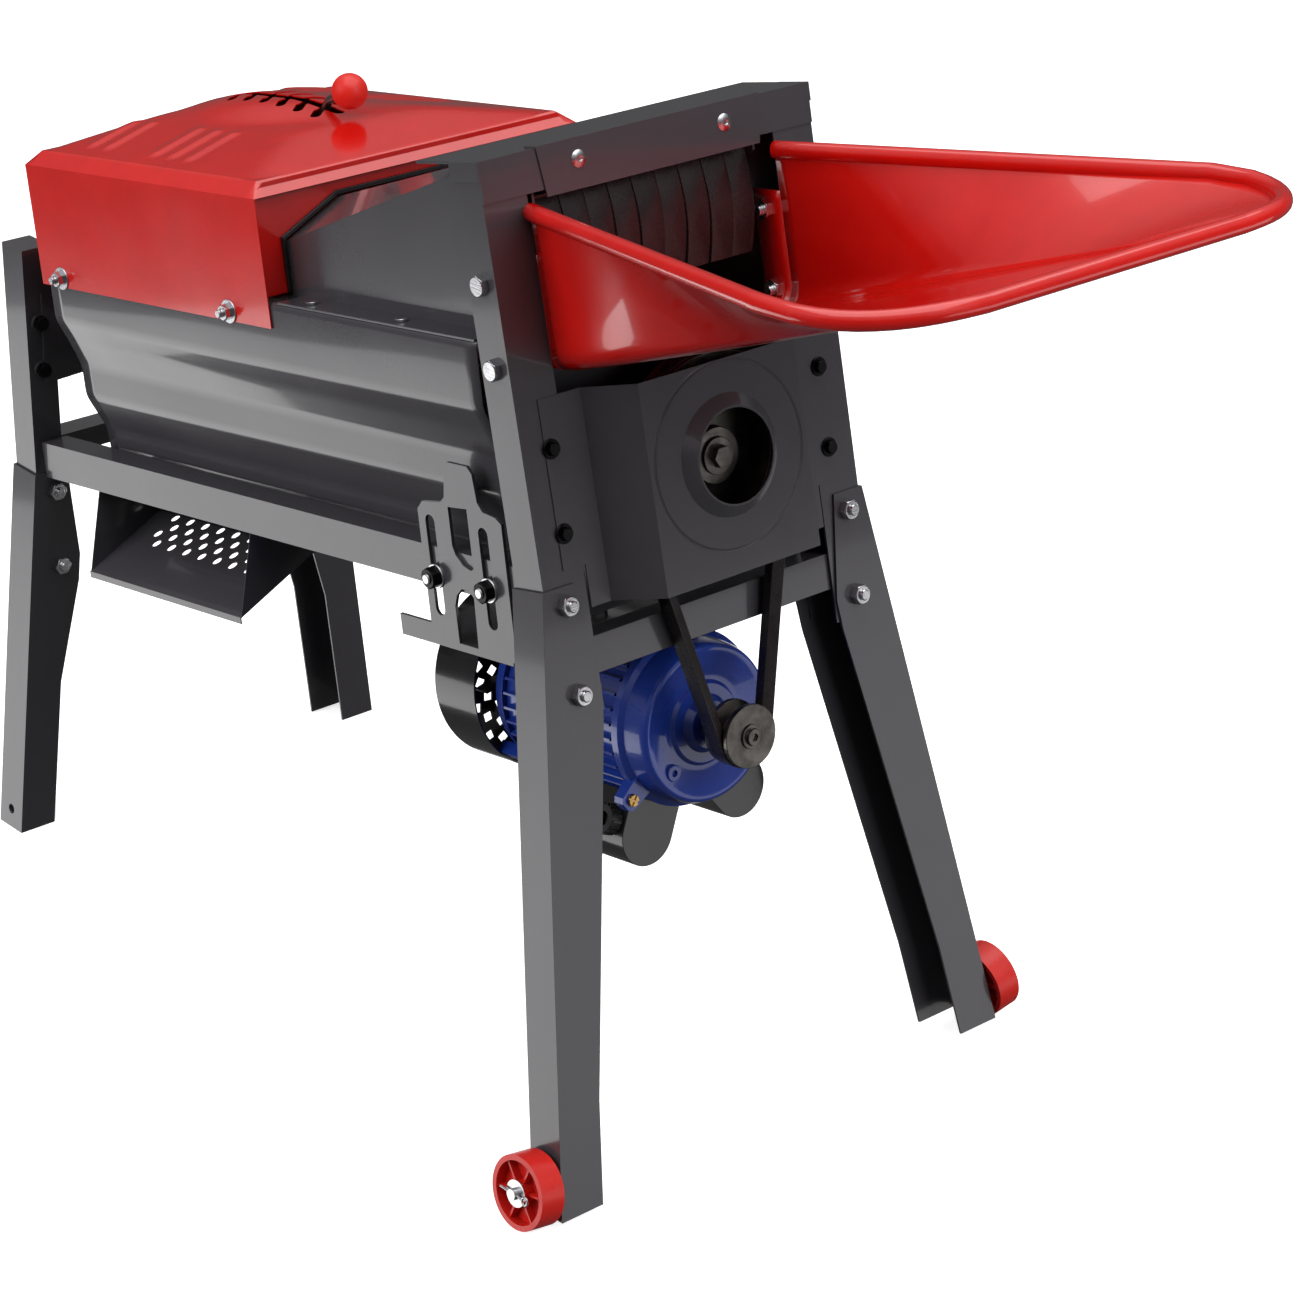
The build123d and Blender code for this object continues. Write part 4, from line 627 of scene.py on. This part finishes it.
def hood_stations(start, end, count, band):
    """Coordinates close together at the folded band and evenly spaced between."""
    fine = [0.0, 2.0, band * 0.5, band - 1.5, band, band + 2.0]
    middle = spread(start + band + 6, end - band - 6, count)
    return [start + f for f in fine] + middle + [end - f for f in reversed(fine)]


def hood_surface():
    """Pressed top with four folded edges, and three walls hanging from it."""
    xs = hood_stations(HOOD_REAR, HOOD_FRONT, 90, HOOD_BAND)
    ys = hood_stations(-HOOD_HALF, HOOD_HALF, 84, HOOD_BAND)
    drop = [HOOD_BOTTOM, 215.0, 250.0, 280.0, HOOD_EDGE - 2.5]
    place = BODY @ MM
    bm = bmesh.new()
    top = [[bm.verts.new(place @ Vector((x, y, hood_height(x, y)))) for y in ys] for x in xs]
    for i in range(len(xs) - 1):
        for j in range(len(ys) - 1):
            bm.faces.new((top[i][j], top[i + 1][j], top[i + 1][j + 1], top[i][j + 1]))
    border = [row[0] for row in reversed(top)] + top[0][1:] + [row[-1] for row in top[1:]]
    down = (place @ Vector((0, 0, -1))) - (place @ Vector((0, 0, 0)))
    above = border
    for z in reversed(drop):
        below = [bm.verts.new(v.co + down * (HOOD_EDGE - z)) for v in border]
        for k in range(len(border) - 1):
            bm.faces.new((above[k], above[k + 1], below[k + 1], below[k]))
        above = below
    bmesh.ops.recalc_face_normals(bm, faces=bm.faces)
    bm.faces.ensure_lookup_table()
    if bm.faces[0].normal.z < 0:
        bmesh.ops.reverse_faces(bm, faces=bm.faces)
    return bm


def cut_slot(shell):
    """Cut the lever's slot out of the hood."""
    cutter = slot_cutter()
    cut = shell.modifiers.new("slot", "BOOLEAN")
    cut.object = cutter
    cut.operation = "DIFFERENCE"
    cut.solver = "EXACT"
    cut.use_self = True
    apply_modifiers(shell)
    bpy.data.objects.remove(cutter)
    shell.data.set_sharp_from_angle(angle=math.radians(25))


def hood():
    """Sheet shell of the hood with the lever's slot, and its front wall."""
    shell = new_piece("hood_shell", hood_surface())
    thicken(shell, SHEET, -1.0)
    apply_modifiers(shell)
    cut_slot(shell)
    soften(shell, 0.5, 2, 40)
    settle(shell, "red_paint", "body", "hood")
    wall = hood_front_wall()
    settle(wall, "red_paint", "body")


def slot_cutter():
    """Prism of the lever's slot with round-ended notches on both sides."""
    bm = bmesh.new()

    def capsule(start, end, radius):
        """Add one round-ended bar to the cutter."""
        start, end = Vector(start), Vector(end)
        angle = math.atan2(end.y - start.y, end.x - start.x)
        ring = arc(start, radius, angle + math.pi / 2, angle + 1.5 * math.pi)
        ring += arc(end, radius, angle - math.pi / 2, angle + math.pi / 2)
        prism(bm, BODY @ MM, ring, 300, 360)

    capsule((SLOT_REAR, 0), (SLOT_FRONT, 0), SLOT_HALF)
    pitch = (SLOT_FRONT - SLOT_REAR - 26) / NOTCH_PAIRS
    for i in range(NOTCH_PAIRS):
        for side in (1, -1):
            x = SLOT_REAR + 16 + pitch * (i + (0.15 if side > 0 else 0.65))
            bend = (x + 4, side * 0.55 * NOTCH_REACH)
            capsule((x, 0), bend, NOTCH_NECK)
            capsule(bend, (x + 12, side * NOTCH_REACH), NOTCH_TIP)
    return new_piece("slot_cutter", bm)


def both_halves(points):
    """A half outline's mirror image followed by the half itself, from the middle out."""
    return [(-y, z) for y, z in points] + [(y, z) for y, z in reversed(points)]


def hood_front_wall():
    """Recessed front wall with the opening for the shroud."""
    x = HOOD_FRONT - WALL_RECESS
    half = HOOD_HALF - SHEET
    foot, shoulder, top = OPENING_HEIGHTS
    inner = both_halves([(OPENING_HALF, foot), (OPENING_HALF, shoulder), (OPENING_TOP_HALF, top)])
    outer = both_halves([(half, foot), (half, HOOD_EDGE - 2), (half - WALL_CORNER, HOOD_CREASE - 1)])
    rows = [[(x, y, z) for y, z in outer], [(x, y, z) for y, z in inner]]
    wall = grid_mesh("hood_front_wall", rows, BODY)
    thicken(wall, SHEET, 0.0)
    soften(wall, 0.4)
    return wall


# ---------------------------------------------------------------------------
# trough sides and feed curtain
# ---------------------------------------------------------------------------

def rounded_line(points, radius, steps=7):
    """The line's points with every inner corner turned into a small curve."""
    corners = [Vector(p) for p in points]
    line = [corners[0]]
    for before, corner, after in zip(corners, corners[1:], corners[2:]):
        reach = min(radius, 0.45 * (corner - before).length, 0.45 * (after - corner).length)
        start = corner + (before - corner).normalized() * reach
        end = corner + (after - corner).normalized() * reach
        for t in spread(0, 1, steps):
            line.append((1 - t) ** 2 * start + 2 * t * (1 - t) * corner + t * t * end)
    return line + [corners[-1]]


def trough_sides():
    """Folded side sheets with rounded bends and a slightly uneven surface."""
    section = rounded_line(TROUGH_LINE, TROUGH_FOLD)
    for side, name in ((1, "near"), (-1, "far")):
        rows = []
        for x in spread(TROUGH_REAR, TROUGH_FRONT, 40):
            row = []
            for point in section:
                wave = math.sin(0.017 * x + 0.03 * point.y) * smooth_step((point.y + 14) / 40)
                row.append((x, side * (point.x + TROUGH_WAVE * wave), point.y))
            rows.append(row)
        sheet = grid_mesh("trough_sheet_" + name, rows, BODY)
        thicken(sheet, SHEET, 0.0)
        settle(sheet, "grey_paint", "body", "trough_" + name)


def feed_curtain():
    """Rubber strips that bulge forward, hung on a rod."""
    pitch = 2 * CURTAIN_HALF / CURTAIN_STRIPS
    heights = spread(CURTAIN_TOP, CURTAIN_BOTTOM, 14)
    for i in range(CURTAIN_STRIPS):
        left = -CURTAIN_HALF + pitch * i
        rows = []
        for z in heights:
            hang = (CURTAIN_TOP - z) / (CURTAIN_TOP - CURTAIN_BOTTOM)
            sway = (1.5 * math.sin(2.1 * i) - 5.0 * hang) * hang
            gap = 0.15 + 0.35 * hang
            row = []
            for t in spread(0, 1, 9):
                y = left + gap + sway + (pitch - 2 * gap) * t
                bulge = STRIP_BULGE * (1 - (2 * t - 1) ** 2) * smooth_step(hang * 4)
                row.append((CURTAIN_X + bulge + STRIP_BELLY * math.sin(3.0 * hang), y, z))
            rows.append(row)
        strip = grid_mesh("curtain_strip", rows, FRONT)
        thicken(strip, STRIP_THICKNESS, -1.0)
        soften(strip, 0.7, 2)
        settle(strip, "rubber", "body")
        if i == 0:
            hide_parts("feed_curtain")
    reach = CURTAIN_HALF + ROD_OVERHANG
    centres = [(CURTAIN_X, y, CURTAIN_TOP) for y in spread(-reach, reach, 30)]
    rod = tube_mesh("curtain_rod", centres, ROD_RADIUS, FRONT, 16)
    settle(rod, "rubber", "body")


# ---------------------------------------------------------------------------
# bolts and rivets
# ---------------------------------------------------------------------------

def facing(where, place, way):
    """Matrix whose Z axis leaves a surface at a place given in millimetres."""
    axis, angle = WAYS[way]
    return where @ MM @ Matrix.Translation(place) @ Matrix.Rotation(math.radians(angle), 4, axis)


def turned(bm, place, rows, across=None, sides=36):
    """Closed shape through rows of (radius, height); across keeps it inside a hexagon."""
    rings = []
    for radius, height in rows:
        ring = []
        for k in range(sides):
            angle = 2 * math.pi * k / sides
            off_flat = (angle + math.pi / 6) % (math.pi / 3) - math.pi / 6
            reach = min(radius, across / 2 / math.cos(off_flat)) if across else radius
            point = Vector((reach * math.cos(angle), reach * math.sin(angle), height))
            ring.append(bm.verts.new(place @ point))
        rings.append(ring)
    for lower, upper in zip(rings, rings[1:]):
        for k in range(sides):
            m = (k + 1) % sides
            bm.faces.new((lower[k], lower[m], upper[m], upper[k]))
    bm.faces.new(list(reversed(rings[0])))
    bm.faces.new(rings[-1])


def hexagon(bm, place, across, height, start=0.0):
    """Chamfered bolt head or nut."""
    corner = across / math.sqrt(3)
    cut = corner - 0.47 * across
    rows = [(corner, start)]
    rows += [(corner - cut * t, start + height - 0.58 * cut * (1 - t)) for t in spread(0, 1, 5)]
    turned(bm, place, rows, across)


def thread(bm, place, radius, start, end):
    """Bolt end with grooves and a chamfered tip."""
    rows = []
    turns = int((end - 1.2 - start) / THREAD_PITCH)
    for i in range(turns):
        rows += [(radius, start + THREAD_PITCH * i), (0.86 * radius, start + THREAD_PITCH * (i + 0.5))]
    rows += [(radius, end - 1.2), (0.8 * radius, end)]
    turned(bm, place, rows)


def washer(bm, place, radius, height, start=0.0):
    """Flat washer with a slightly rounded edge."""
    turned(bm, place, [(radius, start), (radius, start + 0.6 * height), (radius - 0.4, start + height)])


def fasteners(name, slot, build, *nodes):
    """One piece made of all the shapes that a function adds."""
    bm = bmesh.new()
    build(bm)
    bmesh.ops.recalc_face_normals(bm, faces=bm.faces)
    piece = new_piece(name, bm)
    soften(piece, 0.2, 2, 35)
    settle(piece, slot, "body", *nodes)


def leg_bolts(bm):
    """Bolts from inside the posts, their nuts on the legs' front faces."""
    for where, heights in ((FRONT, FRONT_BOLTS_Z), (REAR, REAR_BOLTS_Z)):
        for side in (-1, 1):
            for z in heights:
                outside = facing(where, (2.3, side * LEG_BOLT_Y, z), "+x")
                hexagon(bm, outside, M10_FLATS, 8.0)
                thread(bm, outside, M10_RADIUS, -2.0, 11.0)
                inside = facing(where, (-2.0, side * LEG_BOLT_Y, z), "-x")
                hexagon(bm, inside, M10_FLATS, 6.4)


def hopper_bolts(bm):
    """Long bolts through the front posts, with nuts and bare thread inside the hopper."""
    for side, out, back in SIDES:
        for z in HOPPER_BOLTS_Z:
            outside = facing(FRONT, (HOPPER_BOLT_X, side * POST_FACE, z), out)
            hexagon(bm, outside, M10_FLATS, 6.4)
            inside = facing(FRONT, (HOPPER_BOLT_X, side * (HOPPER_HALF - 1.6), z), back)
            hexagon(bm, inside, M10_FLATS, 8.0)
            thread(bm, inside, M10_RADIUS, -44.0, 12.0)


def hood_studs(bm):
    """Studs of the hood with washers and nuts outside it."""
    for side, out, back in SIDES:
        for x in STUD_X:
            outside = facing(BODY, (x, side * HOOD_HALF, STUD_Z), out)
            washer(bm, outside, 11.0, 1.6)
            hexagon(bm, outside, M8_FLATS, 6.6, 1.6)
            thread(bm, outside, M8_RADIUS, -6.0, 13.0)
            inside = facing(BODY, (x, side * (POST_FACE - SHEET), STUD_Z), back)
            hexagon(bm, inside, M8_FLATS, 5.0)


def carriage_washers(bm):
    """Bright washers and bolts of the motor carriage."""
    for side, out, back in SIDES:
        for x in CARRIAGE_BOLTS_X:
            outside = facing(BODY, (x, side * CARRIAGE_FACE, CARRIAGE_BOLT_Z), out)
            washer(bm, outside, 11.0, 1.8)
            thread(bm, outside, M10_RADIUS, -6.0, 12.0)
            inside = facing(BODY, (x, side * (CARRIAGE_FACE - 6.0), CARRIAGE_BOLT_Z), back)
            hexagon(bm, inside, M10_WIDE_FLATS, 6.4)


def carriage_nuts(bm):
    """Black nuts of the motor carriage."""
    for side, out, _ in SIDES:
        for x in CARRIAGE_BOLTS_X:
            outside = facing(BODY, (x, side * CARRIAGE_FACE, CARRIAGE_BOLT_Z), out)
            hexagon(bm, outside, M10_WIDE_FLATS, 8.2, 1.8)


def black_screws(bm):
    """Flange screws of the belt cover and bolts of the rear gussets."""
    for side in (-1, 1):
        for z in COVER_SCREWS_Z:
            outside = facing(FRONT, (1.2, side * COVER_SCREW_Y, z), "+x")
            washer(bm, outside, 8.5, 1.6)
            hexagon(bm, outside, M6_FLATS, 4.4, 1.6)
        for z in GUSSET_BOLTS_Z:
            outside = facing(REAR, (2.7, side * GUSSET_BOLT_Y, z), "+x")
            hexagon(bm, outside, M8_FLATS, 5.3)
            inside = facing(REAR, (-2.6, side * GUSSET_BOLT_Y, z), "-x")
            thread(bm, inside, M8_RADIUS, -2.0, 8.4)
            hexagon(bm, inside, M8_FLATS, 6.4)


def flap_rivets(bm):
    """Domed pop rivets, hollow in the middle."""
    dome = [(7.5, 0.0), (7.4, 0.6), (6.2, 1.6), (4.4, 2.4), (3.0, 2.7), (2.2, 2.5), (1.7, 1.4)]
    for side in (-1, 1):
        turned(bm, facing(FRONT, (3.2, side * RIVET_Y, RIVET_Z), "+x"), dome)


def around_motor(angle, radius, x):
    """Matrix on the motor's front at an angle from the top; its Z axis points forward."""
    middle = facing(BODY, (x, *MOTOR_AXIS), "+x")
    return middle @ Matrix.Rotation(math.radians(180 + angle), 4, "Z") @ Matrix.Translation((radius, 0, 0))


def front_bell(bm):
    """Front end shield of the motor: flange, deep dish, bearing boss, screw lugs and a drilled stud."""
    flange = [(60, 0), (79, 0), (79, 8), (74, 11)]
    rim = [(72, -8), (70, -2), (68.4, -0.5), (66, 0), (62, -1)]
    dish = [(44, -6), (38, -6), (35, -3), (26, -3), (21, 4), (9.6, 4)]
    rows = [(radius, BELL_BACK + rise) for radius, rise in flange]
    rows += [(radius, BELL_LIP + rise) for radius, rise in rim + dish]
    turned(bm, around_motor(0, 0, 0), rows, sides=96)
    for angle in LUG_ANGLES:
        outline = [(-17, -11), (5, -9), (9, -5), (9, 5), (5, 9), (-17, 11)]
        prism(bm, around_motor(angle, LUG_RADIUS, 0), outline, BELL_BACK, BELL_BACK + 12)
    stud = [(7.5, -8), (7.5, -0.8), (6.8, 0), (3.0, 0), (2.8, -3)]
    turned(bm, around_motor(STUD_ANGLE, STUD_RADIUS, BELL_LIP), stud, sides=24)


def bell_screws(bm):
    """Screws with cross recesses in the shield's lugs."""
    for angle in LUG_ANGLES:
        place = around_motor(angle, LUG_RADIUS, BELL_BACK + 12)
        turned(bm, place, [(5.5, 0.0), (5.5, 1.8)], sides=24)
        for quarter in range(4):
            turn = place @ Matrix.Rotation(math.radians(90 * quarter + 20), 4, "Z")
            prism(bm, turn, [(0.7, 0.7)] + arc((0, 0), 5.2, 0.14, math.pi / 2 - 0.14), 1.8, 3.4)


def all_fasteners():
    fasteners("front_bell_shield", "blue_paint", front_bell, "motor_bell_front")
    fasteners("bell_screw_set", "copper", bell_screws, "bell_screws")
    fasteners("leg_bolt_set", "zinc", leg_bolts, "leg_bolts")
    fasteners("hopper_bolt_set", "zinc", hopper_bolts, "hopper_bolts")
    fasteners("hood_stud_set", "zinc", hood_studs, "hood_studs")
    fasteners("carriage_washer_set", "zinc", carriage_washers, "bracket_bolts")
    fasteners("carriage_nut_set", "black_steel", carriage_nuts)
    fasteners("black_screw_set", "black_steel", black_screws, "black_screws")
    fasteners("flap_rivet_set", "zinc", flap_rivets, "flap_rivets")


# ---------------------------------------------------------------------------
# studio
# ---------------------------------------------------------------------------

def studio_floor():
    """Plain white floor that shades softly."""
    mesh = bpy.data.meshes.new("floor")
    bm = bmesh.new()
    bmesh.ops.create_grid(bm, x_segments=8, y_segments=8, size=12.0)
    bm.to_mesh(mesh)
    bm.free()
    floor = bpy.data.objects.new("floor", mesh)
    bpy.context.scene.collection.objects.link(floor)
    n = Nodes("studio_white")
    tone = n.mix(n.grey(n.noise(2.0, 2.0), 0.0, 1.0), (0.86, 0.86, 0.86), (0.88, 0.88, 0.88))
    floor.data.materials.append(n.finish(tone, 0.7, emission_strength=0.72))
    floor.visible_diffuse = False
    floor.visible_glossy = False
    floor.visible_shadow = False


def area_light(name, place, target, size, power, mirrored=True):
    """Rectangular lamp; one that isn't mirrored lights the paint without showing in it."""
    light = bpy.data.lights.new(name, "AREA")
    light.shape = "RECTANGLE"
    light.size, light.size_y = size
    light.energy = power
    lamp = bpy.data.objects.new(name, light)
    lamp.location = place
    lamp.visible_glossy = mirrored
    lamp.rotation_euler = (Vector(target) - Vector(place)).to_track_quat("-Z", "Y").to_euler()
    bpy.context.scene.collection.objects.link(lamp)


def studio_lights():
    """Soft boxes that light the paint, and low cards that show as bands in it."""
    middle = (0.0, 0.0, 0.5)
    area_light("overhead", (0.2, 0.2, 3.2), middle, (3.6, 3.6), 55)
    area_light("left_box", (-1.2, -3.2, 1.8), middle, (3.0, 2.6), 105, mirrored=False)
    area_light("right_box", (3.4, 0.8, 1.9), middle, (2.6, 2.6), 90, mirrored=False)
    area_light("back_box", (-2.4, 2.8, 2.2), middle, (2.6, 2.0), 30, mirrored=False)
    area_light("low_card_left", (-2.2, -1.9, -0.95), middle, (3.4, 1.3), 24)
    area_light("low_card_right", (2.7, 1.8, -0.30), middle, (3.2, 1.1), 10)
    area_light("low_card_back", (-2.3, 2.0, -0.95), middle, (3.4, 1.6), 16)
    studio_world()


def studio_world():
    """Dim surroundings, brighter above, that the camera itself sees as plain white."""
    world = bpy.data.worlds.new("studio")
    bpy.context.scene.world = world
    world.use_nodes = True
    tree = world.node_tree
    around = tree.nodes["Background"]
    direction = tree.nodes.new("ShaderNodeTexCoord").outputs["Generated"]
    split = tree.nodes.new("ShaderNodeSeparateXYZ")
    height = tree.nodes.new("ShaderNodeMapRange")
    height.inputs["From Min"].default_value = 0.25
    height.inputs["To Min"].default_value = WORLD_LOW
    height.inputs["To Max"].default_value = WORLD_HIGH
    tree.links.new(direction, split.inputs["Vector"])
    tree.links.new(split.outputs["Z"], height.inputs["Value"])
    tree.links.new(height.outputs["Result"], around.inputs["Strength"])
    around.inputs["Color"].default_value = (1, 1, 1, 1)
    white = tree.nodes.new("ShaderNodeBackground")
    white.inputs["Color"].default_value = (1, 1, 1, 1)
    mix = tree.nodes.new("ShaderNodeMixShader")
    tree.links.new(tree.nodes.new("ShaderNodeLightPath").outputs["Is Camera Ray"], mix.inputs["Fac"])
    tree.links.new(around.outputs["Background"], mix.inputs[1])
    tree.links.new(white.outputs["Background"], mix.inputs[2])
    tree.links.new(mix.outputs["Shader"], tree.nodes["World Output"].inputs["Surface"])


def camera():
    data = bpy.data.cameras.new("camera")
    data.lens = CAMERA_LENS
    data.sensor_width = 36.0
    eye = bpy.data.objects.new("camera", data)
    eye.location = CAMERA_PLACE
    eye.rotation_euler = (math.radians(CAMERA_TILT), 0.0, math.radians(CAMERA_TURN))
    bpy.context.scene.collection.objects.link(eye)
    bpy.context.scene.camera = eye


camera()
finish_cad_nodes()
hopper()
hood()
trough_sides()
feed_curtain()
all_fasteners()
studio_floor()
studio_lights()
bpy.context.scene.view_settings.view_transform = "Standard"
